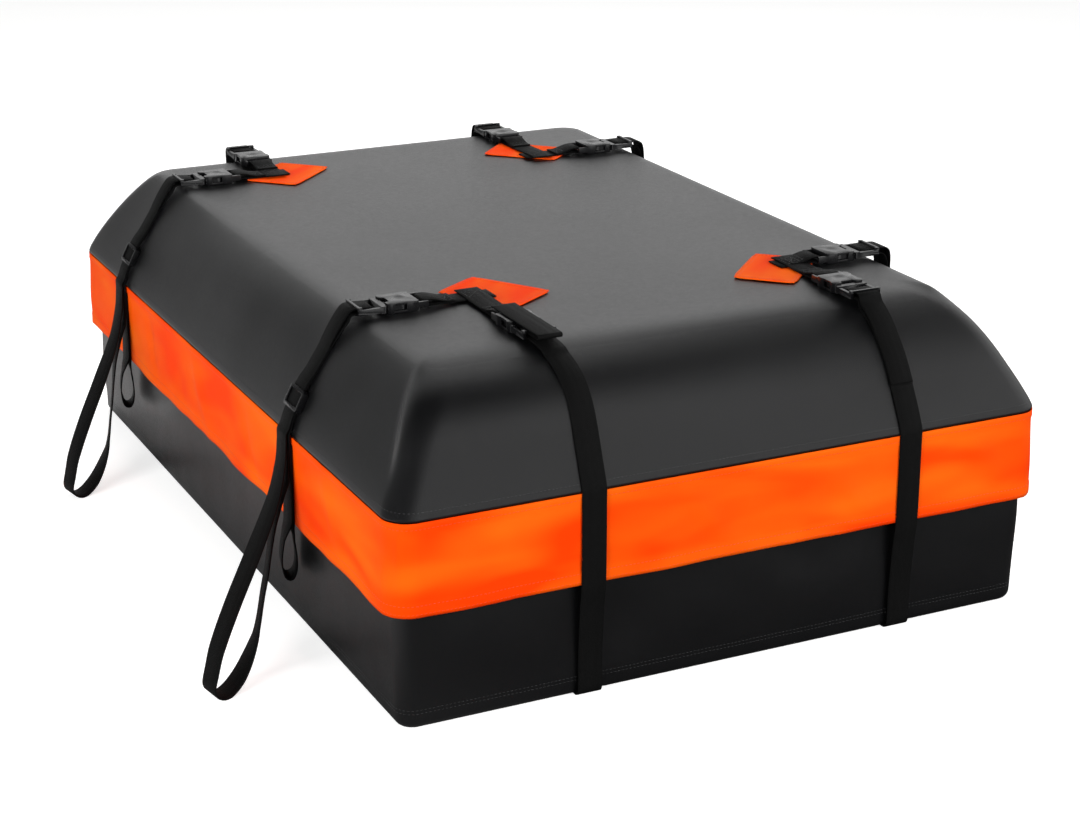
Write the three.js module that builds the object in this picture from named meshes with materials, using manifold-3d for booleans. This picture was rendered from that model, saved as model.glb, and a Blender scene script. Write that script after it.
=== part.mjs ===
// Soft roof cargo bag with a rain flap, four lid patches, webbing straps, side-release buckles
// and tri-glides. Millimetres, +Z up, origin in the middle of the underside.
// +X runs across the bag to its right side and -Y is its front.
import * as THREE from 'three';
import { mergeVertices } from 'three/addons/utils/BufferGeometryUtils.js';
import Module from 'manifold-3d';

const wasm = await Module();
wasm.setup();

// Bag shells
const BAG_WIDTH = 860;
const BAG_LENGTH = 1240;
const CORNER_RADIUS = 30;
const FABRIC = 3;
const FLOOR = 4;
const EDGE_RADIUS = 8;
const TUB_HEIGHT = 205;
const ZIP_HEIGHT = 9;
const RIM_HEIGHT = 262;
const RIM_LIP = 2.6;
const PLATEAU_HEIGHT = 403;
const PLATEAU_INSET_X = 75;
const PLATEAU_INSET_Y = 98;
const PLATEAU_RADIUS = 30;
const SLOPE_BULGE = 1.2; // exponent of the lid's slope: 1 is straight, 2 is a quarter ellipse
const GAP = 0.3;

// Rain flap
const FLAP_STANDOFF = 10;
const FLAP_THICKNESS = 3;
const FLAP_DROP = 114;

// Webbing
const WEB_WIDTH = 32;
const WEB = 1.8;
const PITCH = WEB + GAP; // distance between two plies that lie on each other
const BELLY_TURN = 9.2;
const TAIL_LENGTH = 62;

// Side-release buckle
const BAR_RADIUS = 2.2;
const BAR_GAP = 0.4;
const SLOT_CLEARANCE = 1.5;
const RAIL = 4.5;
const BUCKLE_THICKNESS = 13;
const BUCKLE_WALL = 3;
const SOCKET_LENGTH = 40;
const SOCKET_BAR = 12; // from the socket's body to its webbing bar
const WINDOW_START = 14;
const WINDOW_LENGTH = 17;
const PLUG_BLOCK = 8;
const PLUG_BAR = 19.5; // from the socket's mouth to the plug's webbing bar
const PLUG_TAIL = 38.5; // from the socket's mouth to the plug's outer end
const BRIDGE = 2;
const PRONG_CLEARANCE = 0.6;
const PLUG_TRAVEL = 6; // the strap's turn round the bar stops the plug's block after this
const FOLD_REACH = 26; // from a plug's outer end to the turn of a tail folded back over it

// Tri-glide
const GLIDE_LENGTH = 28;
const GLIDE_BAR = 1.8;
const GLIDE_BAR_WIDTH = 4.5;
const GLIDE_TRAVEL = 6;
const GLIDE_RISE = 43; // the tri-glide's middle over the rim

// Lid patches
const PATCH_LENGTH = 120;
const PATCH_WIDTH = 84;
const PATCH_TURN = Math.PI / 4;
const PATCH_THICKNESS = 1.2;

// Zip
const ZIP_THICKNESS = 2;
const SLIDER_WIDTH = 12;
const SLIDER_HEIGHT = 16;
const SLIDER_PLATE = 2.4;
const PULL_LENGTH = 24;
const PULL_WIDTH = 9;
const PULL_THICKNESS = 1.6;
const PULL_PIN = 0.9;
const PULL_HUB_WALL = 0.6;

// Corners: the planes of the two straps, how far out each plug ends, the patch's middle seen from
// where the straps cross, and the tie-down loop's foot seen from the flap. A loop that leans out
// opens along a line turned by LOOP_TURN from the bag's X axis
const LOOP_TURN = 21 * Math.PI / 180;
const OUTER_TWIST = 10 * Math.PI / 180;
const INNER_TWIST = -15 * Math.PI / 180;
const PULL_LOOP_TWIST = 0.25;
const HALF_X = BAG_WIDTH / 2;
const HALF_Y = BAG_LENGTH / 2;
const CORNERS = {
  fl: {
    sx: -1, sy: -1, x: 238 - HALF_X, y: 320 - HALF_Y,
    sideEnd: HALF_X - 76, endEnd: HALF_Y - 130, patch: [32, 9], patchTurn: Math.PI * 57 / 180,
    foot: [-151, -142],
  },
  fr: {
    sx: 1, sy: -1, x: HALF_X - 187, y: 275 - HALF_Y,
    sideEnd: HALF_X - 64, endEnd: HALF_Y - 99, patch: [-30, -9], foot: [54, 0],
  },
  bl: {
    sx: -1, sy: 1, x: 224 - HALF_X, y: HALF_Y - 210,
    sideEnd: HALF_X - 76, endEnd: HALF_Y - 62, patch: [24, -5], foot: [-133, -150],
  },
  br: {
    sx: 1, sy: 1, x: HALF_X - 223, y: HALF_Y - 275,
    sideEnd: HALF_X - 67, endEnd: HALF_Y - 86, patch: [0, 34], foot: [54, 0],
  },
};
const FOLDED_TAIL = 'fl'; // this end strap's tail is folded back over its buckle

const COLOURS = {
  cloth: new THREE.MeshStandardMaterial({ color: 0x34353a, roughness: 0.7, metalness: 0 }),
  orange: new THREE.MeshStandardMaterial({ color: 0xff4e08, roughness: 0.6, metalness: 0 }),
  webbing: new THREE.MeshStandardMaterial({ color: 0x1c1c1e, roughness: 0.85, metalness: 0 }),
  plastic: new THREE.MeshStandardMaterial({ color: 0x101012, roughness: 0.25, metalness: 0 }),
  metal: new THREE.MeshStandardMaterial({ color: 0x303032, roughness: 0.4, metalness: 0.8 }),
};

const LID_BASE = TUB_HEIGHT + ZIP_HEIGHT;
const FLAP_OUT = FLAP_STANDOFF + FLAP_THICKNESS;
const FLAP_BOTTOM = RIM_HEIGHT - FLAP_DROP;
const LIP_UNDER = RIM_HEIGHT + GAP;
const LIP_TOP = LIP_UNDER + RIM_LIP;
const PLY = 2 * GAP + WEB / 2; // height of a ply's middle over what it lies on

const root = new THREE.Group();

function add(name, geometry, material, place) {
  const mesh = new THREE.Mesh(geometry, material.clone());
  mesh.name = name;
  if (place) place(mesh);
  root.add(mesh);
  return mesh;
}

function solid(positions, indices) {
  const geometry = new THREE.BufferGeometry();
  geometry.setAttribute('position', new THREE.Float32BufferAttribute(positions, 3));
  let volume = 0;
  const [a, b, c] = [new THREE.Vector3(), new THREE.Vector3(), new THREE.Vector3()];
  for (let i = 0; i < indices.length; i += 3) {
    a.fromArray(positions, 3 * indices[i]);
    b.fromArray(positions, 3 * indices[i + 1]);
    c.fromArray(positions, 3 * indices[i + 2]);
    volume += a.dot(b.cross(c));
  }
  geometry.setIndex(volume < 0 ? indices.slice().reverse() : indices);
  geometry.computeVertexNormals();
  return geometry;
}

function toManifold(geometry) {
  const bare = geometry.clone();
  bare.deleteAttribute('normal');
  bare.deleteAttribute('uv');
  const merged = mergeVertices(bare, 1e-4);
  return new wasm.Manifold(new wasm.Mesh({
    numProp: 3,
    vertProperties: new Float32Array(merged.attributes.position.array),
    triVerts: new Uint32Array(merged.index.array),
  }));
}

function fromManifold(manifold) {
  const { vertProperties, triVerts, numProp } = manifold.getMesh();
  const positions = [];
  for (let i = 0; i < vertProperties.length; i += numProp) {
    positions.push(vertProperties[i], vertProperties[i + 1], vertProperties[i + 2]);
  }
  const geometry = new THREE.BufferGeometry();
  geometry.setAttribute('position', new THREE.Float32BufferAttribute(positions, 3));
  geometry.setIndex(Array.from(triVerts));
  geometry.computeVertexNormals();
  return geometry;
}

const union = (...parts) => fromManifold(parts.map(toManifold).reduce((a, b) => a.add(b)));
const cut = (body, ...tools) =>
  fromManifold(tools.map(toManifold).reduce((a, b) => a.subtract(b), toManifold(body)));

// A box from two opposite corners
function box(x0, x1, y0, y1, z0, z1) {
  return new THREE.BoxGeometry(x1 - x0, y1 - y0, z1 - z0)
    .translate((x0 + x1) / 2, (y0 + y1) / 2, (z0 + z1) / 2);
}

// A plate of a flat outline between two heights
function plate(outline, z0, z1) {
  const shape = new THREE.Shape(outline.map(([x, y]) => new THREE.Vector2(x, y)));
  return new THREE.ExtrudeGeometry(shape, { depth: z1 - z0, bevelEnabled: false })
    .translate(0, 0, z0);
}

// A round bar across the webbing
function bar(x, z, radius, half) {
  return new THREE.CylinderGeometry(radius, radius, 2 * half, 10).translate(x, 0, z);
}

// One level of a bag shell: a rounded rectangle
function ring(halfX, halfY, radius, z) {
  const steps = 6;
  const points = [];
  for (let corner = 0; corner < 4; corner++) {
    const cx = (corner === 0 || corner === 3 ? 1 : -1) * (halfX - radius);
    const cy = (corner < 2 ? 1 : -1) * (halfY - radius);
    for (let i = 0; i <= steps; i++) {
      const angle = (corner + i / steps) * Math.PI / 2;
      points.push([cx + radius * Math.cos(angle), cy + radius * Math.sin(angle), z]);
    }
  }
  return points;
}

// Rings joined in order. A closed loft joins its last ring to its first, an open one is capped.
function loft(rings, closed) {
  const n = rings[0].length;
  const positions = rings.flat(2);
  const indices = [];
  const count = closed ? rings.length : rings.length - 1;
  for (let k = 0; k < count; k++) {
    const [a, b] = [k * n, ((k + 1) % rings.length) * n];
    for (let i = 0; i < n; i++) {
      const j = (i + 1) % n;
      indices.push(a + i, a + j, b + j, a + i, b + j, b + i);
    }
  }
  if (!closed) {
    const last = (rings.length - 1) * n;
    for (let i = 1; i < n - 1; i++) indices.push(0, i + 1, i, last, last + i, last + i + 1);
  }
  return solid(positions, indices);
}

const shellRing = (offset, z, radius = CORNER_RADIUS + offset) =>
  ring(HALF_X + offset, HALF_Y + offset, radius, z);

// Share of the way in and up the lid's slope at an angle from the rim (0) to the plateau (90 degrees)
function slopeShare(angle) {
  const power = 2 / SLOPE_BULGE;
  return [1 - Math.cos(angle) ** power, Math.sin(angle) ** power];
}

function lidRing(angle, rimOffset, rimZ, skin) {
  const [inward, up] = slopeShare(Math.min(angle, Math.PI / 2));
  const radius = THREE.MathUtils.lerp(CORNER_RADIUS + rimOffset, PLATEAU_RADIUS - skin, inward);
  return ring(
    HALF_X + rimOffset - (rimOffset + PLATEAU_INSET_X + skin / 2) * inward,
    HALF_Y + rimOffset - (rimOffset + PLATEAU_INSET_Y + skin / 2) * inward,
    radius,
    rimZ + (PLATEAU_HEIGHT - skin - rimZ) * up,
  );
}

// The lid's outline in a section through the middle of a side, from the plateau out over the rim
function section(half, inset) {
  const points = [];
  const edge = half - inset;
  const steps = 48;
  for (let i = 0; i <= steps; i++) {
    const [inward, up] = slopeShare((1 - i / steps) * Math.PI / 2);
    points.push(new THREE.Vector2(
      half + FLAP_OUT - (FLAP_OUT + inset) * inward,
      LIP_TOP + (PLATEAU_HEIGHT - LIP_TOP) * up,
    ));
  }
  points.push(new THREE.Vector2(half + FLAP_OUT, FLAP_BOTTOM));
  const run = [0];
  for (let i = 1; i < points.length; i++) {
    run.push(run[i - 1] + points[i].distanceTo(points[i - 1]));
  }
  const rim = run[steps];
  const locate = (s) => {
    let i = 1;
    while (i < points.length - 1 && run[i] < s) i++;
    const share = (s - run[i - 1]) / (run[i] - run[i - 1]);
    return new THREE.Vector2().lerpVectors(points[i - 1], points[i], share);
  };
  const frame = (s) => {
    if (s <= 0) return { point: new THREE.Vector2(edge + s, PLATEAU_HEIGHT), tangent: new THREE.Vector2(1, 0) };
    const tangent = locate(Math.min(s + 4, run[points.length - 1]))
      .sub(locate(Math.max(s - 4, 0))).normalize();
    if (s > rim + 4) tangent.set(0, -1);
    return { point: locate(s), tangent };
  };
  const at = (s, height) => {
    const { point, tangent } = frame(s);
    return [point.x - tangent.y * height, point.y + tangent.x * height];
  };
  const follow = (from, to, heightFrom, heightTo, count) => {
    const out = [];
    for (let i = 0; i <= count; i++) {
      const share = i / count;
      out.push(at(from + (to - from) * share, heightFrom + (heightTo - heightFrom) * share));
    }
    return out;
  };
  const atHeight = (z) => {
    let s = 0;
    while (locate(s).y > z) s += 1;
    return s;
  };
  return { edge, rim, frame, at, follow, atHeight };
}

const sideSection = section(HALF_X, PLATEAU_INSET_X);
const endSection = section(HALF_Y, PLATEAU_INSET_Y);

// Smooth joint between two path points with their directions
function hermite(p0, d0, p1, d1, count) {
  const reach = Math.hypot(p1[0] - p0[0], p1[1] - p0[1]);
  const out = [];
  for (let i = 1; i < count; i++) {
    const t = i / count;
    const [a, b] = [2 * t ** 3 - 3 * t ** 2 + 1, t ** 3 - 2 * t ** 2 + t];
    const [c, d] = [-2 * t ** 3 + 3 * t ** 2, t ** 3 - t ** 2];
    out.push([0, 1].map((k) =>
      a * p0[k] + b * reach * d0[k] + c * p1[k] + d * reach * d1[k]));
  }
  return out;
}

// Half turn about a centre, from one start angle over a sweep
function turn(cx, cz, radius, start, sweep, count) {
  const out = [];
  for (let i = 0; i <= count; i++) {
    const angle = start + sweep * i / count;
    out.push([cx + radius * Math.cos(angle), cz + radius * Math.sin(angle)]);
  }
  return out;
}

// Flat webbing of a rectangular section along points, its width kept near the hint of each point
function ribbon(points, hints) {
  const positions = [];
  const indices = [];
  const stations = points.map((p) => new THREE.Vector3(...p));
  const last = stations.length - 1;
  stations.forEach((station, i) => {
    const before = station.clone().sub(stations[Math.max(i - 1, 0)]).normalize();
    const after = stations[Math.min(i + 1, last)].clone().sub(station).normalize();
    const tangent = before.clone().add(after).normalize();
    const across = hints[i].clone().addScaledVector(tangent, -hints[i].dot(tangent)).normalize();
    const normal = new THREE.Vector3().crossVectors(tangent, across);
    const mitre = i > 0 && i < last ? 1 / Math.max(before.dot(tangent), 0.8) : 1;
    for (const [w, t] of [[-1, -1], [1, -1], [1, 1], [-1, 1]]) {
      positions.push(...station.clone()
        .addScaledVector(across, w * WEB_WIDTH / 2)
        .addScaledVector(normal, t * mitre * WEB / 2).toArray());
    }
  });
  for (let i = 0; i < last; i++) {
    for (let k = 0; k < 4; k++) {
      const [a, b] = [4 * i + k, 4 * i + (k + 1) % 4];
      // The diagonals of both broad faces run alike, so a twisted ply keeps its thickness
      if (k < 2) indices.push(a, b, b + 4, a, b + 4, a + 4);
      else indices.push(a, b, a + 4, b, b + 4, a + 4);
    }
  }
  const end = 4 * last;
  indices.push(0, 2, 1, 0, 3, 2, end, end + 1, end + 2, end, end + 2, end + 3);
  return solid(positions, indices);
}

const BAR_TURN = BAR_RADIUS + BAR_GAP + WEB / 2;
const BAR_Z = BUCKLE_THICKNESS / 2;
const SLOT_HALF = WEB_WIDTH / 2 + SLOT_CLEARANCE;
const BUCKLE_HALF = SLOT_HALF + RAIL;
const BUCKLE_BASE = PLATEAU_HEIGHT + 0.4;
const PLUG_REACH = SOCKET_LENGTH + PLUG_TAIL;
const FREE_REACH = PLUG_REACH + PLUG_TRAVEL + 0.5; // plies stay apart to here
const BRIDGE_Z = BAR_Z + BAR_TURN + WEB / 2 + BAR_GAP;

function makeSocket() {
  const [inner, mid] = [BUCKLE_HALF - BUCKLE_WALL, BUCKLE_HALF - 1.5];
  const outline = [
    [-1, -mid], [4, -BUCKLE_HALF], [SOCKET_LENGTH - 5, -BUCKLE_HALF], [SOCKET_LENGTH, -mid],
    [SOCKET_LENGTH, mid], [SOCKET_LENGTH - 5, BUCKLE_HALF], [4, BUCKLE_HALF], [-1, mid],
  ];
  const rail = (side) => box(-SOCKET_BAR - BAR_RADIUS, 0,
    side > 0 ? SLOT_HALF : -BUCKLE_HALF + 1.5, side > 0 ? BUCKLE_HALF - 1.5 : -SLOT_HALF,
    BAR_Z - 4, BAR_Z + 4);
  const cavity = box(6, SOCKET_LENGTH + 1, -inner, inner, BUCKLE_WALL, BUCKLE_THICKNESS - BUCKLE_WALL);
  const window = box(WINDOW_START, WINDOW_START + WINDOW_LENGTH, -BUCKLE_HALF - 1, BUCKLE_HALF + 1,
    BUCKLE_WALL, BUCKLE_THICKNESS - BUCKLE_WALL);
  return cut(
    union(plate(outline, 0, BUCKLE_THICKNESS), rail(1), rail(-1),
      bar(-SOCKET_BAR, BAR_Z, BAR_RADIUS, SLOT_HALF + 1)),
    cavity, window,
  );
}

function makePlug() {
  const pad = BUCKLE_HALF - BUCKLE_WALL - PRONG_CLEARANCE;
  const [low, high] = [BUCKLE_WALL + PRONG_CLEARANCE, BUCKLE_THICKNESS - BUCKLE_WALL - PRONG_CLEARANCE];
  const root0 = SOCKET_LENGTH + 0.5;
  const windowEnd = WINDOW_START + WINDOW_LENGTH;
  const prong = (side) => {
    const outline = [
      [root0 + 1, 9], [root0 + 1, 14.5], [windowEnd, pad - 6], [windowEnd - 1.5, pad],
      [WINDOW_START + 2, pad], [WINDOW_START - 2, pad - 4], [WINDOW_START + 2, pad - 9],
      [windowEnd - 1, 10.5],
    ].map(([x, y]) => [x, side * y]);
    return plate(side > 0 ? outline : outline.reverse(), low, high);
  };
  const rail = (side) => {
    const [y0, y1] = side > 0 ? [SLOT_HALF, BUCKLE_HALF - 0.5] : [-BUCKLE_HALF + 0.5, -SLOT_HALF];
    return union(
      box(root0, SOCKET_LENGTH + PLUG_TAIL, y0, y1, BAR_Z - 3.5, BAR_Z + 3.5),
      box(SOCKET_LENGTH + PLUG_TAIL - 5, SOCKET_LENGTH + PLUG_TAIL, y0, y1, BAR_Z, BRIDGE_Z + BRIDGE),
    );
  };
  return union(
    box(root0, root0 + PLUG_BLOCK, -BUCKLE_HALF + 0.5, BUCKLE_HALF - 0.5, BAR_Z - 4.5, BAR_Z + 4.5),
    prong(1), prong(-1),
    box(WINDOW_START - 2, root0 + 1, -3.5, 3.5, low, high),
    rail(1), rail(-1),
    bar(SOCKET_LENGTH + PLUG_BAR, BAR_Z, BAR_RADIUS, SLOT_HALF + 1),
    box(SOCKET_LENGTH + PLUG_TAIL - 3, SOCKET_LENGTH + PLUG_TAIL,
      -SLOT_HALF - 1, SLOT_HALF + 1, BRIDGE_Z, BRIDGE_Z + BRIDGE),
  );
}

const GLIDE_LOW = 0.4 + GLIDE_BAR + GAP + WEB / 2; // middle of the lower ply inside a tri-glide
const GLIDE_TOP = GLIDE_LOW + PITCH + WEB / 2 + GAP;

function makeGlide() {
  const half = GLIDE_LENGTH / 2;
  const rail = (side) => {
    const [y0, y1] = side > 0 ? [SLOT_HALF, BUCKLE_HALF] : [-BUCKLE_HALF, -SLOT_HALF];
    return box(-half, half, y0, y1, 0.4, GLIDE_TOP + GLIDE_BAR);
  };
  return union(
    rail(1), rail(-1),
    box(-half, -half + GLIDE_BAR_WIDTH, -SLOT_HALF - 1, SLOT_HALF + 1, GLIDE_TOP, GLIDE_TOP + GLIDE_BAR),
    box(half - GLIDE_BAR_WIDTH, half, -SLOT_HALF - 1, SLOT_HALF + 1, GLIDE_TOP, GLIDE_TOP + GLIDE_BAR),
    box(-GLIDE_BAR_WIDTH / 2, GLIDE_BAR_WIDTH / 2, -SLOT_HALF - 1, SLOT_HALF + 1, 0.4, 0.4 + GLIDE_BAR),
  );
}

// Bag shells
const slopeAngles = [0, 0.16, 0.33, 0.5, 0.67, 0.84, 1].map((share) => share * Math.PI / 2);

function bellyGroove(front, back) {
  const [x0, x1] = [CORNERS[front].x, CORNERS[back].x];
  const half = WEB_WIDTH / 2 + 1.6;
  const reach = HALF_Y + 20;
  const slope = (x1 - x0) / BAG_LENGTH;
  const mid = (x0 + x1) / 2;
  return plate([
    [mid - slope * reach - half, -reach], [mid - slope * reach + half, -reach],
    [mid + slope * reach + half, reach], [mid + slope * reach - half, reach],
  ], -2, WEB + 2 * GAP);
}

const quarter = (i) => EDGE_RADIUS * (1 - Math.cos(i * Math.PI / 6));
const quarterUp = (i) => EDGE_RADIUS * (1 - Math.sin(i * Math.PI / 6));
const tubOuter = [3, 2, 1, 0].map((i) => shellRing(-quarter(i), quarterUp(i)));
const tub = loft([
  ...tubOuter, shellRing(0, TUB_HEIGHT), shellRing(-FABRIC, TUB_HEIGHT),
  shellRing(-FABRIC, FLOOR + EDGE_RADIUS - 1), shellRing(-FABRIC - EDGE_RADIUS, FLOOR),
], false);
add('tub', cut(tub, bellyGroove('fl', 'bl'), bellyGroove('fr', 'br')), COLOURS.cloth);

const lidRings = [
  shellRing(0, LID_BASE), shellRing(0, LIP_UNDER), shellRing(FLAP_OUT, LIP_UNDER),
  ...slopeAngles.map((angle) => lidRing(angle, FLAP_OUT, LIP_TOP, 0)),
];
const lidInner = [
  ...slopeAngles.slice().reverse().map((angle) =>
    lidRing(angle, FLAP_OUT - FABRIC - 1, LIP_TOP + 1, FABRIC)),
  shellRing(-FABRIC, LIP_UNDER - FABRIC), shellRing(-FABRIC, LID_BASE),
];
add('lid', lidShell(lidRings, lidInner), COLOURS.cloth);

// A cap with an open underside: its outer rings go up to the plateau and its inner ones come down
function lidShell(outer, inner) {
  const rings = [...outer, ...inner];
  const n = outer[0].length;
  const positions = rings.flat(2);
  const indices = [];
  const joined = (a, b) => {
    for (let i = 0; i < n; i++) {
      const j = (i + 1) % n;
      indices.push(a * n + i, a * n + j, b * n + j, a * n + i, b * n + j, b * n + i);
    }
  };
  for (let k = 0; k < rings.length; k++) {
    if (k !== outer.length - 1) joined(k, (k + 1) % rings.length);
  }
  const [top, under] = [(outer.length - 1) * n, outer.length * n];
  for (let i = 1; i < n - 1; i++) {
    indices.push(top, top + i, top + i + 1, under, under + i + 1, under + i);
  }
  return solid(positions, indices);
}

add('rain_flap', loft([
  shellRing(FLAP_OUT, FLAP_BOTTOM), shellRing(FLAP_OUT, RIM_HEIGHT),
  shellRing(FLAP_STANDOFF, RIM_HEIGHT), shellRing(FLAP_STANDOFF, FLAP_BOTTOM),
], true), COLOURS.orange);

add('zip_chain', loft([
  shellRing(-0.5, TUB_HEIGHT + GAP), shellRing(-0.5, LID_BASE - GAP),
  shellRing(-0.5 - ZIP_THICKNESS, LID_BASE - GAP), shellRing(-0.5 - ZIP_THICKNESS, TUB_HEIGHT + GAP),
], true), COLOURS.webbing);

// Zip sliders and their pulls, parked back to back in the middle of the front, behind the flap.
// Each pull turns on a pin between the two ears of its slider.
const ZIP_Z = TUB_HEIGHT + ZIP_HEIGHT / 2;
for (const [name, side] of [['left', -1], ['right', 1]]) {
  const face = -HALF_Y - GAP;
  const x = side * (SLIDER_WIDTH / 2 + 1.5);
  const hubRadius = PULL_PIN + GAP + PULL_HUB_WALL;
  const pinY = face - SLIDER_PLATE - hubRadius - GAP;
  const earHalf = PULL_WIDTH / 2 - 1.2;
  const ear = (up) => box(x - 2.2, x + 2.2, pinY - 1.8, face - 1,
    ZIP_Z + (up > 0 ? earHalf : -earHalf - 1.6), ZIP_Z + (up > 0 ? earHalf + 1.6 : -earHalf));
  const pin = new THREE.CylinderGeometry(PULL_PIN, PULL_PIN, 2 * earHalf + 2, 12)
    .rotateX(Math.PI / 2).translate(x, pinY, ZIP_Z);
  add(`zip_slider_${name}`, union(
    box(x - SLIDER_WIDTH / 2, x + SLIDER_WIDTH / 2, face - SLIDER_PLATE, face,
      ZIP_Z - SLIDER_HEIGHT / 2, ZIP_Z + SLIDER_HEIGHT / 2),
    ear(1), ear(-1), pin,
  ), COLOURS.metal);
  const eye = earHalf - GAP;
  const bore = new THREE.CylinderGeometry(PULL_PIN + GAP, PULL_PIN + GAP, 2 * eye + 2, 12)
    .rotateX(Math.PI / 2);
  const hub = new THREE.CylinderGeometry(hubRadius, hubRadius, 2 * eye, 12)
    .rotateX(Math.PI / 2);
  const reach = [side * (PULL_PIN + GAP + 0.2), side * PULL_LENGTH].sort((a, b) => a - b);
  const tongue = [side * 4, side * PULL_LENGTH].sort((a, b) => a - b);
  const half = PULL_THICKNESS / 2;
  add(`zip_pull_${name}`, cut(union(
    hub,
    box(reach[0], reach[1], -half, half, -eye, eye),
    box(tongue[0], tongue[1], -half, half, -PULL_WIDTH / 2, PULL_WIDTH / 2),
  ), bore), COLOURS.metal, (mesh) => mesh.position.set(x, pinY, ZIP_Z));
}

// Webbing leg from its sewn end on the patch, under a socket's bar and back on itself
function legPath(start, origin) {
  const under = PLATEAU_HEIGHT + PATCH_THICKNESS + GAP + PLY;
  const [barX, barZ] = [origin - SOCKET_BAR, BUCKLE_BASE + BAR_Z];
  const low = barZ - BAR_TURN;
  const back = barX - 34;
  return [
    [start, under], [start + 22, under], [back, under], [barX - 9, low],
    ...turn(barX, barZ, BAR_TURN, -Math.PI / 2, Math.PI, 8),
    [barX - 9, barZ + BAR_TURN], [back + 4, under + PITCH], [back - 7, under + PITCH],
  ];
}

const along = (points, map) => points.map(([d, z]) => map(d, z));
const same = (points, hint) => points.map(() => hint);

// The two plies between a plug's bar and the slope, as [lower, upper], each from the bar outwards
function plugPlies(sec, origin, meet) {
  const [barX, barZ] = [origin + SOCKET_LENGTH + PLUG_BAR, BUCKLE_BASE + BAR_Z];
  const out = origin + FREE_REACH;
  const ply = (level, height) => {
    const z = barZ + level * BAR_TURN;
    if (out < sec.edge + 10) {
      return [[out, z], ...sec.follow(Math.max(out - sec.edge, 0) + 4, meet, z - PLATEAU_HEIGHT, height, 6)];
    }
    const { tangent } = sec.frame(meet);
    const begin = [out + (level > 0 ? 3 * PITCH : 0), z];
    const end = sec.at(meet, height);
    return [begin, ...hermite(begin, [1, 0], end, [tangent.x, tangent.y], 5), end];
  };
  return {
    lower: ply(-1, PLY),
    upper: ply(1, PLY + PITCH),
    loop: turn(barX, barZ, BAR_TURN, -Math.PI / 2, -Math.PI, 8),
  };
}

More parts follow.
